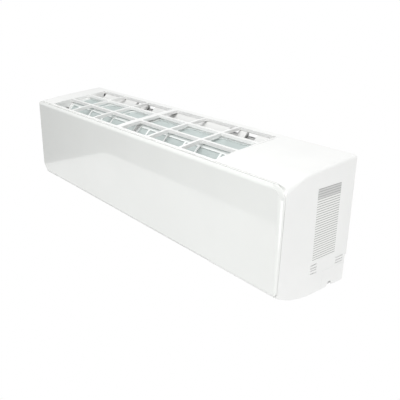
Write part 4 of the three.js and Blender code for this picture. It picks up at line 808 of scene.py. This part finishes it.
def front_case():
    wide = HALF_WIDTH + 1
    groove = side_prism("groove", circle(PANEL_HINGE, PANEL_ROUND + GROOVE_GAP, 72), -wide, wide)
    groove_wall = side_prism("wall", circle(PANEL_HINGE, PANEL_ROUND + PANEL_GAP + SHELL, 72), -wide, wide)
    hollow = keep_common(cut(case_hollow(), groove_wall), two_corners(SHELL))
    shell = join(cut(keep_common(case_body(), two_corners()), hollow), grille_block())
    openings = [
        block("rear_step", -wide, wide, CASE_DEPTH - REAR_STEP, CASE_DEPTH + 1, -1, REAR_STEP_HEIGHT),
        block("outlet", BAY_LEFT - OUTLET_GAP, BAY_RIGHT + OUTLET_GAP, -1, OUTLET_REAR, -1, CHIN_RAIL),
        block("floor", SHELL - HALF_WIDTH, HALF_WIDTH - SHELL, BELLY_END, CASE_DEPTH + 1, -1, SHELL + 1),
        front_prism("filter_door", rectangle(*FILTER_DOOR, DOOR_CORNER), 0, DOOR_DEPTH),
        front_prism("box_window", rectangle(*BOX_WINDOW, DOOR_CORNER), 0, DOOR_DEPTH),
        block("knockouts", -wide, wide, KNOCKOUT[0], KNOCKOUT[1] + REAR_STEP + 1, -1, KNOCKOUT[3]),
        groove,
    ]
    screw_holes = [front_prism("screw_hole", circle((x, SCREW_HEIGHT), SCREW_HOLE, 24), 0, 12)
                   for x in CASE_SCREWS]
    shell = cut(shell, *grille_cells(), *openings, *screw_holes, *end_slits())
    shell = join(shell, hinge_ear(1), hinge_ear(-1), *filter_rails(), *lip_ends(), *bay_sides())
    shell = cut(shell, block("sticker_seat", HALF_WIDTH - STICKER_THICK, wide, *STICKER))
    return soften(shell, 0.5)


dress(front_case(), "case_white", "unit", "front_case")

# %% [markdown]
# ## The sticker
#
# The right end carries a paper sticker. It stays blank here, apart from the faint ruled lines of an
# empty form. The lines are worked out from the surface's own coordinates: a wave along the height
# is cut off near its peak, which leaves thin lines at an even pitch.


# %% Ruled paper
def ruled_group():
    group, given, result = new_group(
        "ruled_paper",
        [("Paper", "Color", (0.84, 0.84, 0.82, 1)), ("Ink", "Color", (0.36, 0.36, 0.36, 1)),
         ("Pitch", "Float", 0.0055), ("Line", "Float", 0.3), ("Head", "Float", 0.046)],
        [("Color", "Color"), ("Roughness", "Float"), ("Height", "Float")],
    )
    point = add_node(group, "ShaderNodeTexCoord").outputs["Object"]
    split = add_node(group, "ShaderNodeSeparateXYZ", feeds={0: point})
    rows = maths(group, "FRACT", maths(group, "DIVIDE", split.outputs[2], given.outputs["Pitch"]))
    on_row = maths(group, "LESS_THAN", rows, given.outputs["Line"])
    on_head = maths(group, "GREATER_THAN", split.outputs[2], given.outputs["Head"])
    inked = maths(group, "MAXIMUM", on_row, maths(group, "MULTIPLY", on_head, 0.5))
    fibre = add_node(group, "ShaderNodeTexNoise", values={"Scale": 900.0}, feeds={"Vector": point})
    mix = add_node(group, "ShaderNodeMix", {"data_type": "RGBA"}, feeds={0: inked})
    group.links.new(given.outputs["Paper"], mix.inputs[6])
    group.links.new(given.outputs["Ink"], mix.inputs[7])
    group.links.new(mix.outputs[2], result.inputs["Color"])
    rough = maths(group, "ADD", maths(group, "MULTIPLY", fibre.outputs["Fac"], 0.1), 0.4)
    group.links.new(rough, result.inputs["Roughness"])
    group.links.new(fibre.outputs["Fac"], result.inputs["Height"])
    return group


FINISH["ruled_paper"] = shaded("ruled_paper", ruled_group(), {}, {}, 0.05)


def sticker():
    front, rear, low, high = STICKER
    outline = rectangle(front + CLEAR, rear - CLEAR, low + CLEAR, high - CLEAR, 2)
    label = side_prism("side_sticker", outline, HALF_WIDTH - STICKER_THICK + 0.02, HALF_WIDTH - 0.05)
    label.data.materials.append(FINISH["ruled_paper"])
    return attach(label, "unit")


sticker()
print("blank sticker in the right end")

# %% [markdown]
# ## The air filters
#
# Two filters lie under the grille. Each is a thin white frame, bent twice, which covers the coil
# from the front over its top. Ribs divide it into windows, and the windows nearest the wall have
# one rounded corner each. A net of fine threads is cast on behind the frame. The frame is a sheet
# pushed along x with its windows cut out, and the net is a thin sheet whose weave is a material.


# %% The filter frames
FILTER_RIM, FILTER_RIB, CROSS_RIB, STRIP = 9.0, 6.5, 5.0, 8.0
LONG_RIBS, SHORT_RIBS = (1 / 3, 2 / 3), (1 / 8, 8 / 15, 7 / 8)
ARCH = (27.0, 18.0)
CORNER = 1.2


def run_length(run):
    return math.dist(FILTER_PATH[run], FILTER_PATH[run + 1])


def run_prism(name, outline, run, near, far):
    """A prism square to one straight run of the filter; outlines are (x, distance along the run)."""
    start = Vector(FILTER_PATH[run])
    on = (Vector(FILTER_PATH[run + 1]) - start).normalized()
    off = Vector((on.y, -on.x))
    return loft(name, [[(x, *(start + on * along + off * side)) for x, along in outline]
                       for side in (near, far)])


def arched(a, b, low, high):
    across, along = ARCH
    centre = (a + across, high - along)
    turns = [math.radians(90 + 90 * t) for t in step_range(12)]
    bow = [(centre[0] + across * math.cos(t), centre[1] + along * math.sin(t)) for t in turns]
    corners = [(a, low, CORNER), (b, low, CORNER), (b, high, CORNER), (centre[0], high, 0)]
    return [*rounded(corners, 4)[:-1], *bow]


def window_row(run, ribs, low, high, arch=False):
    windows = []
    for column, (left, right) in enumerate(zip(ribs, ribs[1:])):
        a, b = left + FILTER_RIB / 2, right - FILTER_RIB / 2
        if arch and column:
            outline = arched(a, b, low, high)
        else:
            outline = rectangle(a, b, low, high, CORNER, 4)
        windows.append(run_prism("window", outline, run, -3 * FILTER_THICK, 3 * FILTER_THICK))
    return windows


def filter_windows(x0, x1):
    inset = FILTER_RIM - FILTER_RIB / 2
    sides = [x0 + inset, x1 - inset]
    long_ribs = sorted(sides + [x0 + (x1 - x0) * share for share in LONG_RIBS])
    all_ribs = sorted(long_ribs + [x0 + (x1 - x0) * share for share in SHORT_RIBS])
    windows = []
    for run, low, high in ((0, FILTER_RIM, run_length(0) - FILTER_ROUND / 2),
                           (1, FILTER_ROUND / 2, run_length(1) - CROSS_RIB)):
        middle = (low + high) / 2
        windows += window_row(run, all_ribs, low, middle - CROSS_RIB / 2)
        windows += window_row(run, all_ribs, middle + CROSS_RIB / 2, high)
    near, last = 2.5, run_length(2) - FILTER_RIM
    windows += window_row(2, long_ribs, near, near + STRIP)
    windows += window_row(2, long_ribs, near + STRIP + CROSS_RIB, last - STRIP - CROSS_RIB, True)
    windows += window_row(2, long_ribs, last - STRIP, last)
    return windows


# %% The nets
NET_THICK = 0.6


def net(name, x0, x1):
    """A thin sheet behind the frame, with a UV map in metres for its weave."""
    front = beside(filter_line(), -FIT)
    line = front + beside(front, -NET_THICK)[::-1]
    travel = [0.0]
    for a, b in zip(front, front[1:]):
        travel.append(travel[-1] + math.dist(a, b))
    travel += travel[::-1]
    sheet = side_prism(name, line, x0, x1)
    weave = sheet.data.uv_layers.new(name="weave")
    for corner in sheet.data.loops:
        vertex = corner.vertex_index
        across = sheet.data.vertices[vertex].co.x
        weave.data[corner.index].uv = (across, travel[vertex % len(line)] / 1000)
    sheet.data.shade_smooth()
    sheet.data.set_sharp_from_angle(angle=math.radians(35))
    return sheet


FILTER_EDGE, FILTER_MIDDLE_GAP = 3.0, 8.0
FILTER_WIDTH = (BAY_WIDTH - 2 * FILTER_EDGE - FILTER_MIDDLE_GAP) / 2
for side, x0 in (("left", BAY_LEFT + FILTER_EDGE), ("right", BAY_RIGHT - FILTER_EDGE - FILTER_WIDTH)):
    x1 = x0 + FILTER_WIDTH
    filter_frame = side_prism(f"filter_{side}_frame_fine", band(filter_line(), FILTER_THICK), x0, x1)
    filter_frame = soften(cut(filter_frame, *filter_windows(x0, x1)), 0.35, 1)
    dress(filter_frame, "filter_plastic", "unit", f"filter_{side}_frame")
    dress(net(f"filter_{side}_net", x0 + 1, x1 - 1), "filter_mesh", "unit", f"filter_{side}_mesh")

# %% [markdown]
# ## The louver
#
# The louver is one curved blade that closes the outlet, so its face is a stretch of the case's
# own underside. Three arms behind it reach the pins that it turns on.


# %% The louver
LOUVER_AXIS = (84.0, 14.0)
LOUVER_SHARE = (0.11, 0.945)
LOUVER_THICK, LOUVER_PIN, LOUVER_END_GAP, LOUVER_ARM = 2.6, 3.0, 1.2, 2.5
ARM_FOOT = ((58.0, 10.0), (94.0, 2.6), (91.0, 11.0))
ARM_EYE = 6.5  # radius of the arm's end round the pin
ARM_FRONT = (60.0, 14.0)


def louver():
    start, end = LOUVER_SHARE
    face = [chin_curve(start + (end - start) * t) for t in step_range(40)]
    x0, x1 = BAY_LEFT + LOUVER_END_GAP, BAY_RIGHT - LOUVER_END_GAP
    blade = soften(side_prism("horizontal_louver_fine", band(face, LOUVER_THICK), x0, x1), 0.6, 3)
    arm = [*ARM_FOOT, *arc(LOUVER_AXIS, ARM_EYE, 0, 110, 12), ARM_FRONT]
    arms = [side_prism("arm", arm, x, x + LOUVER_ARM)
            for x in (x0, BAY_LEFT + (BAY_WIDTH - LOUVER_ARM) / 2, x1 - LOUVER_ARM)]
    pins = [side_prism("pin", circle(LOUVER_AXIS, LOUVER_PIN), BAY_LEFT - CHASSIS_WALL, x0 + 1),
            side_prism("pin", circle(LOUVER_AXIS, LOUVER_PIN), x1 - 1, BAY_RIGHT + CHASSIS_WALL)]
    return soften(join(blade, *arms, *pins), 0)


dress(louver(), "case_white", "louver", "horizontal_louver")

# %% [markdown]
# ## The front panel
#
# The panel is a flat door, hinged along its top edge, which is rounded about the hinge line. In
# the front view two of its corners are round, at the top right and at the bottom left. Its side
# edges are rounded as well, more at the top than at the bottom. The outer form is what three
# prisms share, one for each view, and the inside is cut to an even wall.

# %% The front panel
PANEL_BOTTOM, PANEL_WALL = 36.5, 3.0
PANEL_BIG_CORNER, PANEL_SMALL_CORNER = 38.0, 5.0
PANEL_SIDE_ROUND = {"top": 11.0, "bottom": 4.0}
LUG_ROUND = 4.6
GAP_CLOSES = (206.0, 230.0)  # between these heights the gap behind the panel narrows


def panel_front_outline(inset):
    top = PANEL_HINGE[1] + PANEL_ROUND
    big, small = PANEL_BIG_CORNER - inset, max(PANEL_SMALL_CORNER - inset, 1)
    return rounded([
        (-HALF_WIDTH + inset, PANEL_BOTTOM + inset, big),
        (HALF_WIDTH - inset, PANEL_BOTTOM + inset, small),
        (HALF_WIDTH - inset, top - inset, big),
        (-HALF_WIDTH + inset, top - inset, small),
    ], 24)


def panel_lug(side):
    depth, height = PANEL_HINGE
    lug = [(PANEL_WALL - 1, height - 9), (depth, height - LUG_ROUND)]
    lug += arc(PANEL_HINGE, LUG_ROUND, -60, 90, 12) + [(PANEL_WALL - 1, height + LUG_ROUND)]
    near = HINGE_X - EAR_THICK / 2
    x0, x1 = sorted((side * near, side * (near + EAR_THICK)))
    p0, p1 = sorted((side * (near + 1), side * (near + 2 * EAR_THICK + PANEL_GAP)))
    pin = side_prism("pin", circle(PANEL_HINGE, HINGE_PIN, 32), p0, p1)
    return join(side_prism("lug", lug, x0, x1), pin)


def front_panel():
    top = PANEL_HINGE[1] + PANEL_ROUND
    high = PANEL_HINGE[1] - PANEL_ROUND - 4
    heights = (PANEL_BOTTOM, *GAP_CLOSES, high)
    gaps = (PANEL_GAP, PANEL_GAP, GROOVE_GAP, GROOVE_GAP)
    rear = [(case_front(height) - gap, height) for height, gap in zip(heights, gaps)]
    side = [(0, PANEL_BOTTOM)] + rear + arc(PANEL_HINGE, PANEL_ROUND, -60, 180, 48)
    wide, back = HALF_WIDTH, 30
    plan = []
    for end, height in (("bottom", PANEL_BOTTOM - 1), ("top", top + 1)):
        radius = PANEL_SIDE_ROUND[end]
        loop = rounded([(-wide, 0, radius), (wide, 0, radius), (wide, back, 0), (-wide, back, 0)], 12)
        plan.append([(x, depth, height) for x, depth in loop])
    outer = keep_common(
        side_prism("front_panel_fine", side, -HALF_WIDTH, HALF_WIDTH),
        front_prism("front_view", panel_front_outline(0), -1, 40),
        loft("plan_view", plan),
    )
    far = 40.0
    inner = [(PANEL_WALL, PANEL_BOTTOM - 1)] + arc(PANEL_HINGE, PANEL_ROUND - PANEL_WALL, 180, 60, 16)
    inner += [(PANEL_HINGE[0] + 6.5, top + 2.3), (far, top + 4), (far, PANEL_BOTTOM - 1)]
    hollow = keep_common(
        side_prism("panel_hollow", inner, -HALF_WIDTH, HALF_WIDTH),
        front_prism("front_view", panel_front_outline(PANEL_WALL), -1, far),
    )
    return soften(join(cut(outer, hollow), panel_lug(1), panel_lug(-1)), 0.4)


dress(front_panel(), "panel_gloss", "panel", "front_panel")

# %% [markdown]
# ## The camera and the studio
#
# The camera stands right of the unit, a little above it, and looks along its front. The
# background is plain white. The light is soft: an even world, and large lamps above, at the right
# and low in front. The bright reflection in the glossy panel is painted: a pale sheet on the floor
# glows plain white for glossy rays only.

# %% The camera
camera_data = bpy.data.cameras.new("camera")
camera_data.sensor_width = 36
camera_data.lens = 48.74  # millimetres, like the sensor
camera = bpy.data.objects.new("camera", camera_data)
bpy.context.scene.collection.objects.link(camera)
CAMERA_PLACE = (1.193, -0.959, 0.433)
CAMERA_RIGHT = Vector((0.6322, 0.7747, 0.0087))
CAMERA_UP = Vector((-0.2801, 0.2181, 0.9349))
turn = Matrix((CAMERA_RIGHT, CAMERA_UP, CAMERA_RIGHT.cross(CAMERA_UP))).transposed()
camera.matrix_world = Matrix.Translation(CAMERA_PLACE) @ turn.to_4x4()
bpy.context.scene.camera = camera


# %% The world and the floor
def white_for_the_camera(tree, output, shader, gloss=None):
    """The camera, and what it sees through glass, meets plain white here, and gloss does if asked."""
    path = add_node(tree, "ShaderNodeLightPath")
    seen = maths(tree, "MAXIMUM", path.outputs["Is Camera Ray"], path.outputs["Is Transmission Ray"])
    if gloss:
        seen = maths(tree, "MAXIMUM", seen, maths(tree, "MULTIPLY", path.outputs["Is Glossy Ray"], gloss))
    kind = "ShaderNodeBackground" if output.type == "OUTPUT_WORLD" else "ShaderNodeEmission"
    white = add_node(tree, kind, values={"Color": (1, 1, 1, 1), "Strength": 1.0})
    mix = add_node(tree, "ShaderNodeMixShader", feeds={0: seen})
    tree.links.new(shader.outputs[0], mix.inputs[1])
    tree.links.new(white.outputs[0], mix.inputs[2])
    tree.links.new(mix.outputs[0], output.inputs["Surface"])


world = bpy.data.worlds.new("studio")
bpy.context.scene.world = world
world.use_nodes = True
sky = world.node_tree.nodes["Background"]
sky.inputs["Color"].default_value = (0.93, 0.94, 0.94, 1)
sky.inputs["Strength"].default_value = 0.62
white_for_the_camera(world.node_tree, world.node_tree.nodes["World Output"], sky)

FLOOR_HEIGHT = -0.62
# Edges of the pale sheet, whose white glow, seen only in reflections, paints the panel's reflection.
GLOW_SHEET_FRONT, GLOW_SHEET_LEFT, GLOW_SHEET_SOFT = -1.34, -2.1, 0.025


def reflection_sheet_mask(tree):
    """A pale sheet with soft edges under the unit, on a greyer floor; it paints the panel's reflection."""
    point = add_node(tree, "ShaderNodeTexCoord").outputs["Object"]
    split = add_node(tree, "ShaderNodeSeparateXYZ", feeds={0: point})
    shares = []
    for axis, edge in ((1, GLOW_SHEET_FRONT), (0, GLOW_SHEET_LEFT)):
        ramp = add_node(tree, "ShaderNodeMapRange", {"interpolation_type": "SMOOTHSTEP"},
                        {"From Min": edge - GLOW_SHEET_SOFT, "From Max": edge + GLOW_SHEET_SOFT},
                        {"Value": split.outputs[axis]})
        shares.append(ramp.outputs[0])
    return maths(tree, "MULTIPLY", *shares)


def floor_material():
    material = bpy.data.materials.new("floor_white")
    material.use_nodes = True
    tree = material.node_tree
    shader = tree.nodes["Principled BSDF"]
    shader.inputs["Roughness"].default_value = 0.9
    sheet = reflection_sheet_mask(tree)
    # Grey floor and pale sheet: the dim and bright parts of the painted reflection in the panel.
    tone = add_node(tree, "ShaderNodeMix", {"data_type": "RGBA"}, feeds={0: sheet})
    tone.inputs[6].default_value = (0.52, 0.52, 0.52, 1)
    tone.inputs[7].default_value = (0.92, 0.92, 0.92, 1)
    tree.links.new(tone.outputs[2], shader.inputs["Base Color"])
    # Glossy rays see plain white where the sheet lies, a glowing patch that is no lamp: painted
    # reflection.
    white_for_the_camera(tree, tree.nodes["Material Output"], shader, sheet)
    seen = tree.nodes["Material Output"].inputs["Surface"].links[0].from_socket
    below = add_node(tree, "ShaderNodeNewGeometry").outputs["Backfacing"]
    see_through = add_node(tree, "ShaderNodeMixShader", feeds={0: below})
    tree.links.new(seen, see_through.inputs[1])
    tree.links.new(add_node(tree, "ShaderNodeBsdfTransparent").outputs[0], see_through.inputs[2])
    tree.links.new(see_through.outputs[0], tree.nodes["Material Output"].inputs["Surface"])
    return material


bpy.ops.mesh.primitive_plane_add(size=12, location=(0, 0, FLOOR_HEIGHT))
floor = bpy.context.object
floor.name = "floor"
floor.data.materials.append(floor_material())


# %% The lamps
def lamp(name, power, size, position, target, tint=(1, 1, 1)):
    data = bpy.data.lights.new(name, "AREA")
    data.energy, data.size, data.color = power, size, tint
    made = bpy.data.objects.new(name, data)
    bpy.context.scene.collection.objects.link(made)
    made.location = position
    made.rotation_euler = (Vector(target) - Vector(position)).to_track_quat("-Z", "Y").to_euler()
    return made


lamp("lamp_above", 26, 1.6, (0.1, -0.9, 1.7), (0, -0.1, 0))
lamp("lamp_right", 8, 1.2, (1.9, -0.5, -0.25), (0.4, -0.1, 0))
lamp("lamp_front", 10, 1.2, (1.6, -2.2, 0.9), (0, -0.2, 0))

# %% Sizes and finish
bpy.context.scene.view_settings.view_transform = "Standard"
